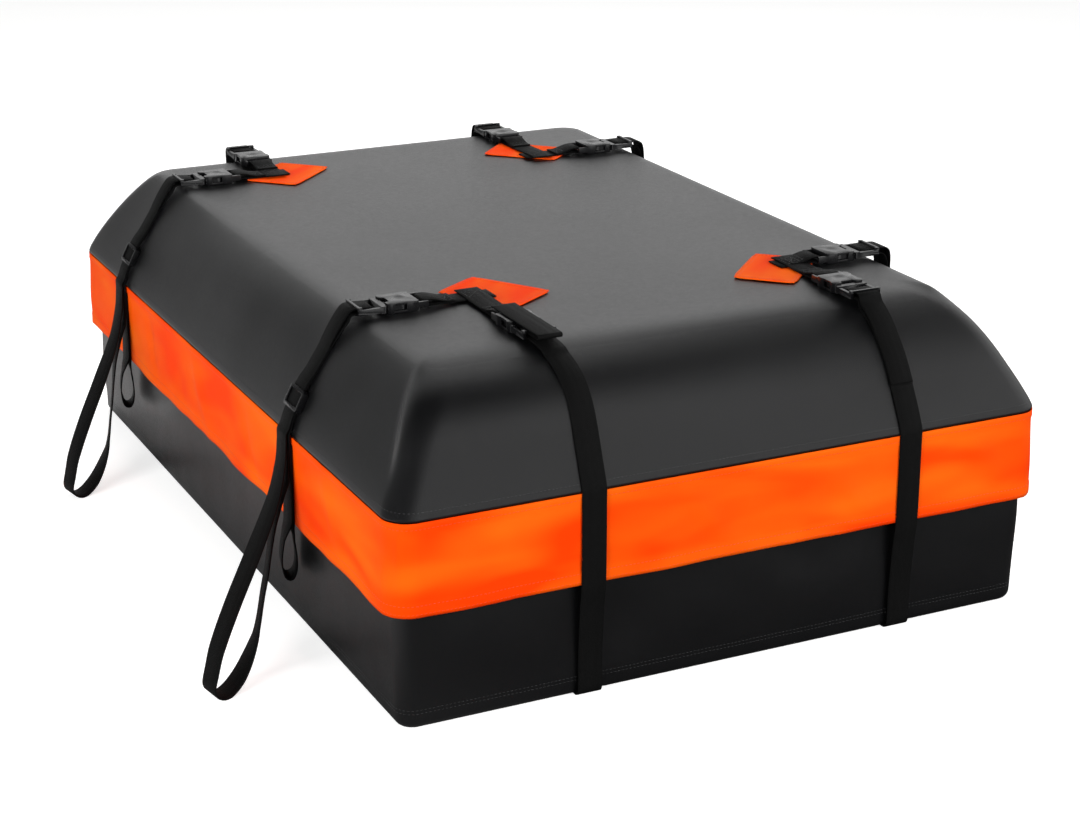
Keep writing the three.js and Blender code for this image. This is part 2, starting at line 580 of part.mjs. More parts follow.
// Side strap: small pull loop, tri-glide, plug and back, tri-glide, tie-down loop
function sideStrap(key) {
  const c = CORNERS[key];
  const sec = sideSection;
  const origin = c.sideEnd - PLUG_REACH;
  const meet = 52;
  const glide = sec.atHeight(RIM_HEIGHT + GLIDE_RISE);
  const { point, tangent } = sec.frame(glide);
  const normal = [-tangent.y, tangent.x];
  const straight = GLIDE_LENGTH / 2 + GLIDE_TRAVEL + 1;
  const eased = straight + 16;
  const { lower, upper, loop } = plugPlies(sec, origin, meet);
  const slopePly = (height, glideHeight, bandHeight) => {
    const inGlide = (s) => [0, 1].map((k) =>
      [point.x, point.y][k] + [tangent.x, tangent.y][k] * s + normal[k] * glideHeight);
    return [
      sec.at(glide - eased, height), inGlide(-straight), inGlide(straight),
      sec.at(glide + eased, THREE.MathUtils.lerp(height, bandHeight, 0.5)),
      ...sec.follow(sec.rim - 1, sec.rim + 9, bandHeight, bandHeight, 4),
    ];
  };
  const wall = (offset, z) => [HALF_X + offset, z];
  const small = [
    wall(FLAP_OUT + PLY, RIM_HEIGHT - 9), wall(FLAP_OUT + PLY, FLAP_BOTTOM - 2),
    wall(11, FLAP_BOTTOM - 22), wall(8.5, FLAP_BOTTOM - 44), wall(9, FLAP_BOTTOM - 60),
    wall(12, FLAP_BOTTOM - 69), wall(17.5, FLAP_BOTTOM - 73), wall(23.5, FLAP_BOTTOM - 70),
    wall(27, FLAP_BOTTOM - 60), wall(28, FLAP_BOTTOM - 44), wall(24, FLAP_BOTTOM - 20),
    wall(FLAP_OUT + PLY + PITCH, FLAP_BOTTOM + 4),
  ];
  const inner = slopePly(PLY, GLIDE_LOW, PLY + PITCH);
  const outer = slopePly(PLY + PITCH, GLIDE_LOW + PITCH, PLY + 3 * PITCH);
  const flat = [
    ...small, ...inner.reverse(), ...lower.reverse(), ...loop, ...upper, ...outer,
  ];
  const points = along(flat, (d, z) => [c.sx * d, c.y, z]);
  const hints = flat.map((p, i) => new THREE.Vector3(
    i > 1 && i < small.length - 1 ? -c.sx * PULL_LOOP_TWIST : 0, 1, 0).normalize());

  // Tie-down loop: shares of the way to its foot, distances across its opening and heights as
  // shares of the rim's
  const hanging = c.foot[1] === 0;
  const out = hanging
    ? [[0.03, 0, 0.863], [0.14, 0, 0.725], [0.36, 0, 0.542], [0.66, 0, 0.355], [0.88, 0, 0.214],
      [1, 0, 0.115], [0.96, 0, 0.053]]
    : [[0.03, 0, 0.87], [0.14, 0, 0.725], [0.4, 0, 0.542], [0.7, 0, 0.355], [0.89, 0, 0.214],
      [0.97, 0, 0.115], [1, 0, 0.061], [1, 3, 0.03]];
  const back = hanging
    ? [[0.82, 0, 0.027], [0.66, 0, 0.046], [0.54, 0, 0.122], [0.42, 0, 0.275], [0.28, 0, 0.458],
      [0.14, 0, 0.611], [0.04, 0, 0.733], [0, 0, 0.817]]
    : [[1, 10, 0.008], [1, 22, 0.008], [0.985, 37, 0.045], [0.95, 49, 0.115], [0.86, 54, 0.22],
      [0.67, 42, 0.355], [0.46, 25, 0.46], [0.25, 9, 0.6], [0.1, 2, 0.72], [0.015, 0, 0.794]];
  const foot = new THREE.Vector2(...c.foot);
  const turned = hanging ? 0 : LOOP_TURN;
  const start = FLAP_OUT + PLY + 3 * PITCH;
  const ease = THREE.MathUtils.smoothstep;
  const outerTwist = (share) => OUTER_TWIST * ease(share, 0, 0.5);
  const innerTwist = (height) => (1 - ease(height, 0.5, 0.794))
    * THREE.MathUtils.lerp(OUTER_TWIST, INNER_TWIST, ease(height, 0.02, 0.25));
  const pushLoop = ([share, opening, height], offset, twist) => {
    points.push([
      c.sx * (HALF_X + offset) + foot.x * share - c.sx * Math.cos(turned) * opening,
      c.y + foot.y * share + Math.sin(turned) * opening, height * RIM_HEIGHT,
    ]);
    const angle = hanging ? 0 : twist;
    hints.push(new THREE.Vector3(c.sx * Math.sin(angle), Math.cos(angle), 0));
  };
  out.forEach((entry) => pushLoop(entry, start, outerTwist(entry[0])));
  back.forEach((entry) => pushLoop(entry, start - PITCH, innerTwist(entry[2])));
  pushLoop([0, 0, 1 - 14 / RIM_HEIGHT], start - PITCH, 0);
  return ribbon(points, hints);
}

// Belly strap: front tail, front plug, down the front, under the base and up to the back plug
function bellyStrap(frontKey, backKey) {
  const half = (key) => {
    const c = CORNERS[key];
    const sec = endSection;
    const origin = c.endEnd - PLUG_REACH;
    // A plug that stands far out over the slope lets its strap down on it lower
    const meet = Math.max(58, origin + FREE_REACH - sec.edge + 38);
    const { lower, upper, loop } = plugPlies(sec, origin, meet);
    const barZ = BUCKLE_BASE + BAR_Z;
    let tail;
    if (key === FOLDED_TAIL) {
      const overZ = BUCKLE_BASE + Math.max(BUCKLE_THICKNESS, BRIDGE_Z + BRIDGE) + BAR_GAP + WEB / 2;
      const rise = (overZ - barZ - BAR_TURN) / 2;
      const fold = origin + PLUG_REACH + FOLD_REACH;
      tail = [
        [origin - 24, overZ], [origin + SOCKET_LENGTH, overZ], [fold, overZ],
        ...turn(fold, overZ - rise, rise, Math.PI / 2, -Math.PI, 6).slice(1),
      ];
    } else {
      tail = [...upper, ...sec.follow(meet + 10, meet + TAIL_LENGTH, PLY + PITCH, PLY + PITCH, 3)]
        .reverse();
    }
    const edge = HALF_Y - EDGE_RADIUS + 5.6;
    const down = [
      ...sec.follow(meet + 16, sec.rim - 10, PLY, PLY, 5),
      ...sec.follow(sec.rim - 4, sec.rim + 9, PLY, PLY, 3),
      [HALF_Y + FLAP_OUT + PLY, FLAP_BOTTOM - 2], [HALF_Y + FLAP_OUT - 2, FLAP_BOTTOM - 32],
      [HALF_Y + 7, 0.4 * FLAP_BOTTOM], [edge + BELLY_TURN, 24],
      ...turn(edge, GAP + WEB / 2 + BELLY_TURN, BELLY_TURN, 0, -Math.PI / 2, 5),
    ];
    const flat = [...tail, ...loop.slice().reverse(), ...lower, ...down];
    return along(flat, (d, z) => [c.x, c.sy * d, z]);
  };
  const front = half(frontKey);
  const back = half(backKey).reverse();
  const points = [...front, ...back];
  const [x0, x1] = [CORNERS[frontKey].x, CORNERS[backKey].x];
  const skew = new THREE.Vector3(BAG_LENGTH, -(x1 - x0), 0).normalize();
  const straight = new THREE.Vector3(1, 0, 0);
  const hints = points.map((p, i) =>
    (i >= front.length - 1 && i <= front.length ? skew : straight));
  return ribbon(points, hints);
}

for (const [key, c] of Object.entries(CORNERS)) {
  const sideOrigin = c.sideEnd - PLUG_REACH;
  const endOrigin = c.endEnd - PLUG_REACH;

  // Patch, turned so that its long side faces the bag's corner
  const patch = box(-PATCH_LENGTH / 2, PATCH_LENGTH / 2, -PATCH_WIDTH / 2, PATCH_WIDTH / 2,
    PLATEAU_HEIGHT + GAP, PLATEAU_HEIGHT + GAP + PATCH_THICKNESS);
  add(`patch_${key}`, patch, COLOURS.orange, (mesh) => {
    mesh.position.set(c.x + c.patch[0], c.y + c.patch[1], 0);
    mesh.rotation.z = -c.sx * c.sy * (c.patchTurn ?? PATCH_TURN);
  });

  // Two webbing legs that cross on the patch, one to each socket
  const reach = WEB_WIDTH / 2 + 8;
  const side = legPath(c.sx * c.x - reach, sideOrigin);
  const end = legPath(c.sy * c.y - reach, endOrigin);
  add(`anchor_${key}`, union(
    ribbon(along(side, (d, z) => [c.sx * d, c.y, z]), same(side, new THREE.Vector3(0, 1, 0))),
    ribbon(along(end, (d, z) => [c.x, c.sy * d, z]), same(end, new THREE.Vector3(1, 0, 0))),
  ), COLOURS.webbing);

  const sideTurn = c.sx > 0 ? 0 : Math.PI;
  const endTurn = c.sy * Math.PI / 2;
  for (const [kind, make] of [['socket', makeSocket], ['plug', makePlug]]) {
    add(`${kind}_${key}_side`, make(), COLOURS.plastic, (mesh) => {
      mesh.position.set(c.sx * sideOrigin, c.y, BUCKLE_BASE);
      mesh.rotation.z = sideTurn;
    });
    add(`${kind}_${key}_end`, make(), COLOURS.plastic, (mesh) => {
      mesh.position.set(c.x, c.sy * endOrigin, BUCKLE_BASE);
      mesh.rotation.z = endTurn;
    });
  }

  add(`side_strap_${key}`, sideStrap(key), COLOURS.webbing);

  const { point, tangent } = sideSection.frame(sideSection.atHeight(RIM_HEIGHT + GLIDE_RISE));
  add(`tri_glide_${key}`, makeGlide(), COLOURS.plastic, (mesh) => {
    const down = new THREE.Vector3(c.sx * tangent.x, 0, tangent.y);
    const normal = new THREE.Vector3(c.sx * -tangent.y, 0, tangent.x);
    const across = new THREE.Vector3().crossVectors(normal, down);
    mesh.position.set(c.sx * point.x, c.y, point.y);
    mesh.quaternion.setFromRotationMatrix(new THREE.Matrix4().makeBasis(down, across, normal));
  });
}

add('belly_strap_left', bellyStrap('fl', 'bl'), COLOURS.webbing);
add('belly_strap_right', bellyStrap('fr', 'br'), COLOURS.webbing);

export default root;
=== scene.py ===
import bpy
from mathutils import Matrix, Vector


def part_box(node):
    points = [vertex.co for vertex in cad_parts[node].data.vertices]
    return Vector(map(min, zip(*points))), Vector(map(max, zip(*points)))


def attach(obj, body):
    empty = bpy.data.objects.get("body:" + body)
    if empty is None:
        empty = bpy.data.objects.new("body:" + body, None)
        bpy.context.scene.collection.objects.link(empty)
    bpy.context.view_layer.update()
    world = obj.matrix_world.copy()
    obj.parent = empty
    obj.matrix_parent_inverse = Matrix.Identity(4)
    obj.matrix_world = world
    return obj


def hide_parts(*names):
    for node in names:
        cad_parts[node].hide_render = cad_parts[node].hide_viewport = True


bl_info = {
    "name": "Roof Cargo Bag",
    "version": (1, 0, 0),
    "blender": (4, 5, 0),
    "location": "View3D > Sidebar > Cargo Bag",
    "description": "Dresses the packed roof cargo bag with cloth, webbing, stitching and buckles",
    "category": "Object",
}

import math

import bpy
import numpy as np
from mathutils import Matrix, Vector, noise
from mathutils.bvhtree import BVHTree

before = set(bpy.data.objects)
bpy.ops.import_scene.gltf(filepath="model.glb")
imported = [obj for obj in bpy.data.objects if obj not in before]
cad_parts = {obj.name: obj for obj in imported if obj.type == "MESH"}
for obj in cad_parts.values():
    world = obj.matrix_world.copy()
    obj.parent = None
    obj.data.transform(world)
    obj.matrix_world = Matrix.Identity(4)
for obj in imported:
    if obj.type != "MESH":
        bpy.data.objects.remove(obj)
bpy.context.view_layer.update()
MM = 0.001


def node_box(name):
    low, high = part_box(name)
    return np.array(low), np.array(high)


TUB_HIGH = node_box("tub")[1]
LID_HIGH = node_box("lid")[1]
FLAP_LOW, FLAP_HIGH = node_box("rain_flap")

# For each corner of the lid: which way out it lies, where its webbing is sewn on, how far out
# its two plugs end, how far its patch's middle is from there, and how far its big loop leans
CORNERS = {
    "fl": dict(sx=-1, sy=-1, x=-0.192, y=-0.300, side_end=0.354, end_end=0.490,
               patch=(0.032, 0.009), foot=(-0.151, -0.142)),
    "fr": dict(sx=1, sy=-1, x=0.243, y=-0.345, side_end=0.366, end_end=0.521,
               patch=(-0.030, -0.009), foot=(0.054, 0.0)),
    "bl": dict(sx=-1, sy=1, x=-0.206, y=0.410, side_end=0.354, end_end=0.558,
               patch=(0.024, -0.005), foot=(-0.133, -0.150)),
    "br": dict(sx=1, sy=1, x=0.207, y=0.345, side_end=0.363, end_end=0.534,
               patch=(0.0, 0.034), foot=(0.054, 0.0)),
}
FOLDED_TAIL = "fl"

RIM_LIP = 0.0029
PLATEAU_CORNER = 0.03
CLOTH_THICK = 0.0016
FLAP_THICK = 0.0014
TUB_RIM = 0.2045
LID_SKIRT = 0.2145
PRESS_WIDTH = 0.075

PATCH_HALF = (0.0595, 0.0415)
PATCH_TURN = 45
PATCH_TURNS = {"fl": 57}


class BagSizes(bpy.types.PropertyGroup):
    half_x: bpy.props.FloatProperty(
        name="Half width", description="Half of the tub's width", unit="LENGTH",
        default=float(TUB_HIGH[0]))
    half_y: bpy.props.FloatProperty(
        name="Half length", description="Half of the tub's length", unit="LENGTH",
        default=float(TUB_HIGH[1]))
    corner: bpy.props.FloatProperty(
        name="Corner radius", description="Radius of the tub's upright corners",
        unit="LENGTH", default=0.021)
    rim: bpy.props.FloatProperty(
        name="Rim height", description="Height of the seam between lid and rain flap",
        unit="LENGTH", default=float(FLAP_HIGH[2]))
    plateau: bpy.props.FloatProperty(
        name="Lid height", description="Height of the lid's flat top", unit="LENGTH",
        default=float(LID_HIGH[2]))
    inset_x: bpy.props.FloatProperty(
        name="Side slope", description="How far the flat top stands in from the sides",
        unit="LENGTH", default=0.075)
    inset_y: bpy.props.FloatProperty(
        name="End slope", description="How far the flat top stands in from the ends",
        unit="LENGTH", default=0.098)
    flap_low: bpy.props.FloatProperty(
        name="Flap hem height", description="Height of the rain flap's lower hem",
        unit="LENGTH", default=float(FLAP_LOW[2]))
    flap_out: bpy.props.FloatProperty(
        name="Flap standoff", description="How far the flap's face stands off the tub",
        unit="LENGTH", default=float(FLAP_HIGH[0] - TUB_HIGH[0]))
    web_width: bpy.props.FloatProperty(
        name="Webbing width", description="Width of every strap", unit="LENGTH", default=0.032)
    web_thick: bpy.props.FloatProperty(
        name="Webbing thickness", description="Thickness of every strap", unit="LENGTH",
        default=0.0018)
    billow: bpy.props.FloatProperty(
        name="Billow", description="How far the cloth stands out between the straps",
        unit="LENGTH", default=0.004)
    stitch: bpy.props.FloatProperty(
        name="Stitch length", description="Length of one stitch with its gap",
        unit="LENGTH", default=0.0052)


class BagColours(bpy.types.PropertyGroup):
    cloth: bpy.props.FloatVectorProperty(
        name="Cloth", description="Coated cloth of tub and lid", subtype="COLOR",
        default=(0.0045, 0.0045, 0.0049))
    orange: bpy.props.FloatVectorProperty(
        name="Flap", description="Coated cloth of the rain flap and patches",
        subtype="COLOR", default=(1.0, 0.095, 0.002))
    webbing: bpy.props.FloatVectorProperty(
        name="Webbing", description="Woven straps", subtype="COLOR",
        default=(0.0042, 0.0042, 0.0042))
    plastic: bpy.props.FloatVectorProperty(
        name="Buckles", description="Moulded buckles and tri-glides", subtype="COLOR",
        default=(0.004, 0.004, 0.0045))
    metal: bpy.props.FloatVectorProperty(
        name="Zip metal", description="Zip sliders and pulls", subtype="COLOR",
        default=(0.06, 0.06, 0.065))
    thread: bpy.props.FloatVectorProperty(
        name="Orange thread", description="Stitching on the orange cloth", subtype="COLOR",
        default=(0.75, 0.045, 0.003))
    floor: bpy.props.FloatVectorProperty(
        name="Floor", description="Floor and backdrop", subtype="COLOR",
        default=(0.75, 0.75, 0.74))


def sizes():
    return bpy.context.scene.bag_sizes


def colours():
    return bpy.context.scene.bag_colours


# Materials

WEAVE_PITCH = 0.0011
YARN_PITCH = 0.0021
RIB_PITCH = 0.0011
HERRINGBONE = 0.00475
# Painted shade and painted light: colour factors that deepen and pale the orange cloth in slanted
# streaks, standing in for the shading of its folds
PAINTED_FOLD_SHADE = (0.98, 0.5, 0.35, 1)
PAINTED_FOLD_LIGHT = (1.0, 1.3, 2.0, 1)
PAINTED_FOLD_SLANT = math.radians(52)


def feed(made, inputs):
    """Sets a node's inputs, each by name or number, to a value or to a socket that is linked."""
    for key, value in inputs.items():
        if isinstance(value, bpy.types.NodeSocket):
            made.id_data.links.new(value, made.inputs[key])
        else:
            made.inputs[key].default_value = value
    return made


def node(tree, kind, inputs=None, **settings):
    made = tree.nodes.new(kind)
    for key, value in settings.items():
        setattr(made, key, value)
    return feed(made, inputs or {})


def maths(tree, operation, *values):
    return node(tree, "ShaderNodeMath", dict(enumerate(values)), operation=operation).outputs[0]


def piece_map(tree):
    return node(tree, "ShaderNodeUVMap", uv_map="UVMap").outputs["UV"]


def object_noise(tree, scale, detail=3.0):
    place = node(tree, "ShaderNodeTexCoord").outputs["Object"]
    return node(tree, "ShaderNodeTexNoise", {
        "Vector": place, "Scale": scale, "Detail": detail, "Roughness": 0.55}).outputs["Fac"]


def ramp(tree, source, low, high, a, b, interpolation="LINEAR"):
    return node(tree, "ShaderNodeMapRange", {
        "Value": source, "From Min": low, "From Max": high, "To Min": a, "To Max": b,
    }, interpolation_type=interpolation).outputs["Result"]


def mixed(tree, share, a, b, blend="MIX"):
    return node(tree, "ShaderNodeMix", {"Factor": share, "A": a, "B": b}, data_type="RGBA",
                blend_type=blend).outputs["Result"]


def tinted(tree, source, colour, dark, light):
    return mixed(tree, source, [*(c * dark for c in colour), 1],
                 [*(min(c * light, 1.0) for c in colour), 1])


def bump(tree, height, distance, strength, normal=None):
    inputs = {"Height": height, "Distance": distance, "Strength": strength}
    if normal is not None:
        inputs["Normal"] = normal
    return node(tree, "ShaderNodeBump", inputs).outputs["Normal"]


def weave_height(tree, uv):
    """A plain weave from two crossed waves on the piece's own map, which is in metres."""
    scale = 2 * math.pi / (20 * WEAVE_PITCH)
    waves = [node(tree, "ShaderNodeTexWave", {"Scale": scale, "Vector": uv}, wave_type="BANDS",
                  bands_direction=axis, wave_profile="SIN").outputs["Fac"] for axis in "XY"]
    return maths(tree, "MULTIPLY", *waves)


def painted_fold_shading(tree, uv, base):
    """Painted shade and painted light: deeper and paler streaks that run down loose cloth at a
    slant, standing in for the shading of its folds.
    """
    slanted = node(tree, "ShaderNodeMapping", {
        "Vector": uv, "Rotation": (0, 0, PAINTED_FOLD_SLANT), "Scale": (5.0, 17.0, 1.0)})
    painted_fold_noise = node(tree, "ShaderNodeTexNoise", {
        "Vector": slanted.outputs["Vector"], "Scale": 1.0, "Detail": 1.5, "Roughness": 0.45,
        "Distortion": 0.5})
    share = ramp(tree, painted_fold_noise.outputs["Fac"], 0.34, 0.68, 0, 1)
    return mixed(tree, 1.0, base, mixed(tree, share, PAINTED_FOLD_SHADE, PAINTED_FOLD_LIGHT), "MULTIPLY")


def material(name, fill, *values):
    """The named material. When it is first asked for, fill gives it its nodes."""
    made = bpy.data.materials.get(name)
    if made is None:
        made = bpy.data.materials.new(name)
        made.use_nodes = True
        fill(made.node_tree, made.node_tree.nodes["Principled BSDF"], *values)
    return made


def coated(tree, shader, colour, rough, shine, painted_folds):
    uv = piece_map(tree)
    fine = object_noise(tree, 160.0)
    base = tinted(tree, object_noise(tree, 9.0, 4.0), colour, 0.86, 1.14)
    grain = bump(tree, fine, 0.00012, 0.2)
    # Where asked for, the base colour carries painted shade and painted light in slanted streaks,
    # in place of the shading of folds
    feed(shader, {
        "Base Color": painted_fold_shading(tree, uv, base) if painted_folds else base,
        "Roughness": ramp(tree, fine, 0.3, 0.7, rough - 0.02, rough + 0.03),
        "Normal": bump(tree, weave_height(tree, uv), 0.00016, 0.4, grain),
        "Specular IOR Level": shine,
    })


def woven(tree, shader, colour):
    split = node(tree, "ShaderNodeSeparateXYZ", {0: piece_map(tree)})
    across, along = split.outputs[0], split.outputs[1]
    # Herringbone: the slant of the yarns turns at each rib across the strap
    slant = maths(tree, "ADD", maths(tree, "PINGPONG", across, HERRINGBONE), along)
    yarns = maths(tree, "SINE", maths(tree, "MULTIPLY", slant, 2 * math.pi / YARN_PITCH))
    ribs = maths(tree, "SINE", maths(tree, "MULTIPLY", across, 2 * math.pi / RIB_PITCH))
    height = ramp(tree, maths(tree, "MULTIPLY_ADD", ribs, 0.4, yarns), -1.4, 1.4, 0.0, 1.0)
    fuzz = object_noise(tree, 900.0, 2.0)
    feed(shader, {
        "Base Color": tinted(tree, height, colour, 0.55, 1.6),
        "Roughness": ramp(tree, fuzz, 0.3, 0.7, 0.5, 0.72),
        "Normal": bump(tree, height, 0.0004, 0.8, bump(tree, fuzz, 0.0001, 0.3)),
        "Specular IOR Level": 0.1,
    })


def moulded(tree, shader, colour):
    broad = object_noise(tree, 60.0)
    feed(shader, {
        "Base Color": tinted(tree, broad, colour, 0.8, 1.3),
        "Roughness": ramp(tree, broad, 0.3, 0.7, 0.22, 0.36),
        "Normal": bump(tree, object_noise(tree, 700.0, 2.0), 0.00006, 0.25),
        "Coat Weight": 0.08,
        "Coat Roughness": 0.12,
    })


def cast_metal(tree, shader, colour):
    fine = object_noise(tree, 900.0)
    feed(shader, {
        "Base Color": tinted(tree, fine, colour, 0.8, 1.4),
        "Roughness": ramp(tree, fine, 0.3, 0.7, 0.28, 0.45),
        "Normal": bump(tree, fine, 0.00005, 0.3),
        "Metallic": 0.85,
    })


def twisted(tree, shader, colour):
    twist = object_noise(tree, 1800.0, 1.0)
    feed(shader, {
        "Base Color": tinted(tree, twist, colour, 0.6, 1.3),
        "Normal": bump(tree, twist, 0.0002, 0.5),
        "Roughness": 0.55,
        "Sheen Weight": 0.2,
    })


def cloth_dark():
    return material("coated_cloth_dark", coated, colours().cloth, 0.32, 0.5, False)


def cloth_orange():
    # The orange cloth of the flap and patches gets the painted fold shade and light in its base
    # colour
    return material("coated_cloth_orange", coated, colours().orange, 0.66, 0.06, True)


def webbing_cloth():
    return material("woven_webbing", woven, colours().webbing)


def moulded_plastic():
    return material("moulded_buckle", moulded, colours().plastic)


def dark_metal():
    return material("zip_metal", cast_metal, colours().metal)


# Mesh helpers


def drop_selection():
    for other in list(bpy.context.selected_objects):
        other.select_set(False)
    bpy.context.view_layer.objects.active = None


def only(obj):
    """Selects one object alone and makes it active."""
    drop_selection()
    bpy.context.view_layer.objects.active = obj
    obj.select_set(True)


def mesh_piece(name, vertices, faces, uvs=None):
    """A smooth-shaded object from points and faces, with a map of one place per point."""
    mesh = bpy.data.meshes.new(name)
    mesh.from_pydata([tuple(v) for v in vertices], [], [tuple(f) for f in faces])
    if uvs is not None:
        layer = mesh.uv_layers.new(name="UVMap")
        flat = np.zeros(2 * len(mesh.loops))
        loops = np.zeros(len(mesh.loops), int)
        mesh.loops.foreach_get("vertex_index", loops)
        flat[0::2] = np.asarray(uvs)[loops, 0]
        flat[1::2] = np.asarray(uvs)[loops, 1]
        layer.data.foreach_set("uv", flat)
    mesh.validate()
    mesh.update()
    obj = bpy.data.objects.new(name, mesh)
    bpy.context.scene.collection.objects.link(obj)
    mesh.polygons.foreach_set("use_smooth", [True] * len(mesh.polygons))
    return obj


def finish_piece(obj, finish, body, slot, *nodes):
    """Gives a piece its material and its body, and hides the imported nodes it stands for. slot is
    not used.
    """
    obj.data.materials.clear()
    obj.data.materials.append(finish)
    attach(obj, body)
    if nodes:
        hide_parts(*nodes)
    return obj


def apply_modifier(obj, kind, **settings):
    only(obj)
    modifier = obj.modifiers.new(kind.lower(), kind)
    for key, value in settings.items():
        setattr(modifier, key, value)
    bpy.ops.object.modifier_apply(modifier=modifier.name)
    return obj


def block(name, x0, x1, y0, y1, z0, z1):
    """A cube primitive at its size and place, ready to be shaped."""
    drop_selection()
    bpy.ops.mesh.primitive_cube_add(size=1, location=(0, 0, 0))
    obj = bpy.context.active_object
    obj.name = name
    obj.data.transform(Matrix.Translation(((x0 + x1) / 2, (y0 + y1) / 2, (z0 + z1) / 2))
                       @ Matrix.Diagonal((x1 - x0, y1 - y0, z1 - z0, 1)))
    return obj


def rod(name, x, z, radius, half):
    """A cylinder primitive that lies across, its middle at x and z."""
    drop_selection()
    bpy.ops.mesh.primitive_cylinder_add(vertices=24, radius=radius, depth=2 * half,
                                        rotation=(math.pi / 2, 0, 0))
    obj = bpy.context.active_object
    obj.name = name
    obj.data.transform(Matrix.Translation((x, 0, z)) @ obj.matrix_world)
    obj.matrix_world = Matrix.Identity(4)
    return obj


def outline_plate(name, outline, z0, z1):
    """A circle primitive whose points are moved to an outline, then extruded to a plate."""
    drop_selection()
    bpy.ops.mesh.primitive_circle_add(vertices=len(outline), radius=1, fill_type="NGON")
    obj = bpy.context.active_object
    obj.name = name
    for vertex, (x, y) in zip(obj.data.vertices, outline):
        vertex.co = (x, y, z0)
    bpy.ops.object.mode_set(mode="EDIT")
    bpy.ops.mesh.select_all(action="SELECT")
    bpy.ops.mesh.extrude_region_move(TRANSFORM_OT_translate={"value": (0, 0, z1 - z0)})
    bpy.ops.mesh.select_all(action="SELECT")
    bpy.ops.mesh.normals_make_consistent(inside=False)
    bpy.ops.object.mode_set(mode="OBJECT")
    return obj


def joined(base, others, operation="UNION"):
    """Adds the others to the base, or cuts them out of it, and removes them."""
    for other in others:
        apply_modifier(base, "BOOLEAN", operation=operation, solver="EXACT", object=other)
        bpy.data.objects.remove(other, do_unlink=True)
    return base


def placed_copy(source, name, matrix):
    """A copy with its own mesh, moved in the mesh itself."""
    made = source.copy()
    made.data = source.data.copy()
    made.name = name
    made.data.name = name
    made.data.transform(matrix)
    bpy.context.scene.collection.objects.link(made)
    return made


# The bag's cloth shells


def perimeter(half_x, half_y, radius, long_steps=120, short_steps=84, corner_steps=14):
    """Points round a rounded rectangle, from the middle of the right side anticlockwise, with their
    outward directions."""
    points, normals = [], []
    radius = max(radius, 1e-4)
    spans = [(0, long_steps), (1, short_steps), (2, long_steps), (3, short_steps)]
    for side, steps in spans:
        angle = side * math.pi / 2
        normal = (math.cos(angle), math.sin(angle))
        across = (-math.sin(angle), math.cos(angle))
        reach, half = (half_x, half_y) if side % 2 == 0 else (half_y, half_x)
        straight = half - radius
        for i in range(steps):
            t = -straight + 2 * straight * i / steps
            points.append((normal[0] * reach + across[0] * t, normal[1] * reach + across[1] * t))
            normals.append(normal)
        cx = normal[0] * (reach - radius) + across[0] * straight
        cy = normal[1] * (reach - radius) + across[1] * straight
        for i in range(corner_steps):
            turn = angle + math.pi / 2 * i / corner_steps
            normals.append((math.cos(turn), math.sin(turn)))
            points.append((cx + radius * math.cos(turn), cy + radius * math.sin(turn)))
    return np.array(points), np.array(normals)


def smooth(t):
    t = np.clip(t, 0, 1)
    return t * t * (3 - 2 * t)


def facing(normals, direction):
    """1 where a wall looks in the direction, 0 where it looks away, and soft in between."""
    return smooth((normals @ np.array(direction)) * 2 - 0.6)


def strap_press(points, normals):
    """0 where a strap presses on a wall and 1 well away from every strap."""
    free = np.ones(len(points))
    for c in CORNERS.values():
        for wall, far in (((c["sx"], 0), points[:, 1] - c["y"]),
                          ((0, c["sy"]), points[:, 0] - c["x"])):
            press = facing(normals, wall) * np.exp(-(far / PRESS_WIDTH) ** 2)
            free = np.minimum(free, 1 - press)
    return free


def wave(x, y, z, scale, seed):
    """Smooth noise from -1 to 1 at each point."""
    return np.array([
        noise.noise(Vector((a * scale + seed, b * scale - seed, c * scale + 2 * seed)))
        for a, b, c in zip(x, y, z)
    ])


def run_along(points):
    """How far each point lies along the line through them."""
    steps = np.linalg.norm(np.diff(points, axis=0), axis=1)
    return np.concatenate([[0], np.cumsum(steps)])


def closed_perimeter(half_x, half_y, radius):
    """The perimeter's points and directions, with the first ones again at the end."""
    return [np.vstack([part, part[:1]]) for part in perimeter(half_x, half_y, radius)]


def lofted(levels, offset_of):
    """Quads over the levels. A level is (half_x, half_y, radius, z, out, up): out and up are the
    surface's own direction there. offset_of gives how far each point moves along it."""
    rows, maps = [], []
    run = 0.0
    last = None
    for half_x, half_y, radius, z, out, up in levels:
        points, normals = perimeter(half_x, half_y, radius)
        x, y = points[:, 0], points[:, 1]
        heights = np.full(len(points), z)
        move = offset_of(points, normals, heights)
        row = np.stack([x + normals[:, 0] * out * move, y + normals[:, 1] * out * move,
                        heights + up * move], axis=1)
        if last is not None:
            run += math.hypot(half_y - last[0], z - last[1])
        last = (half_y, z)
        rows.append(row)
        maps.append(np.column_stack([run_along(points), np.full(len(points), run)]))
    return rows, maps


def softened(levels, first, reach):
    """The same levels with the profile's bends rounded from the given level inwards."""
    table = np.array(levels)
    run = run_along(table[:, [1, 3]])
    out = table.copy()
    for i in range(first, len(table) - 2):
        near = min(reach, (run[i] - run[first]) * 0.45 + 1e-6)
        weight = np.exp(-0.5 * ((run - run[i]) / near) ** 2) * np.gradient(run)
        out[i] = (table * weight[:, None]).sum(0) / weight.sum()
    return [tuple(level) for level in out]


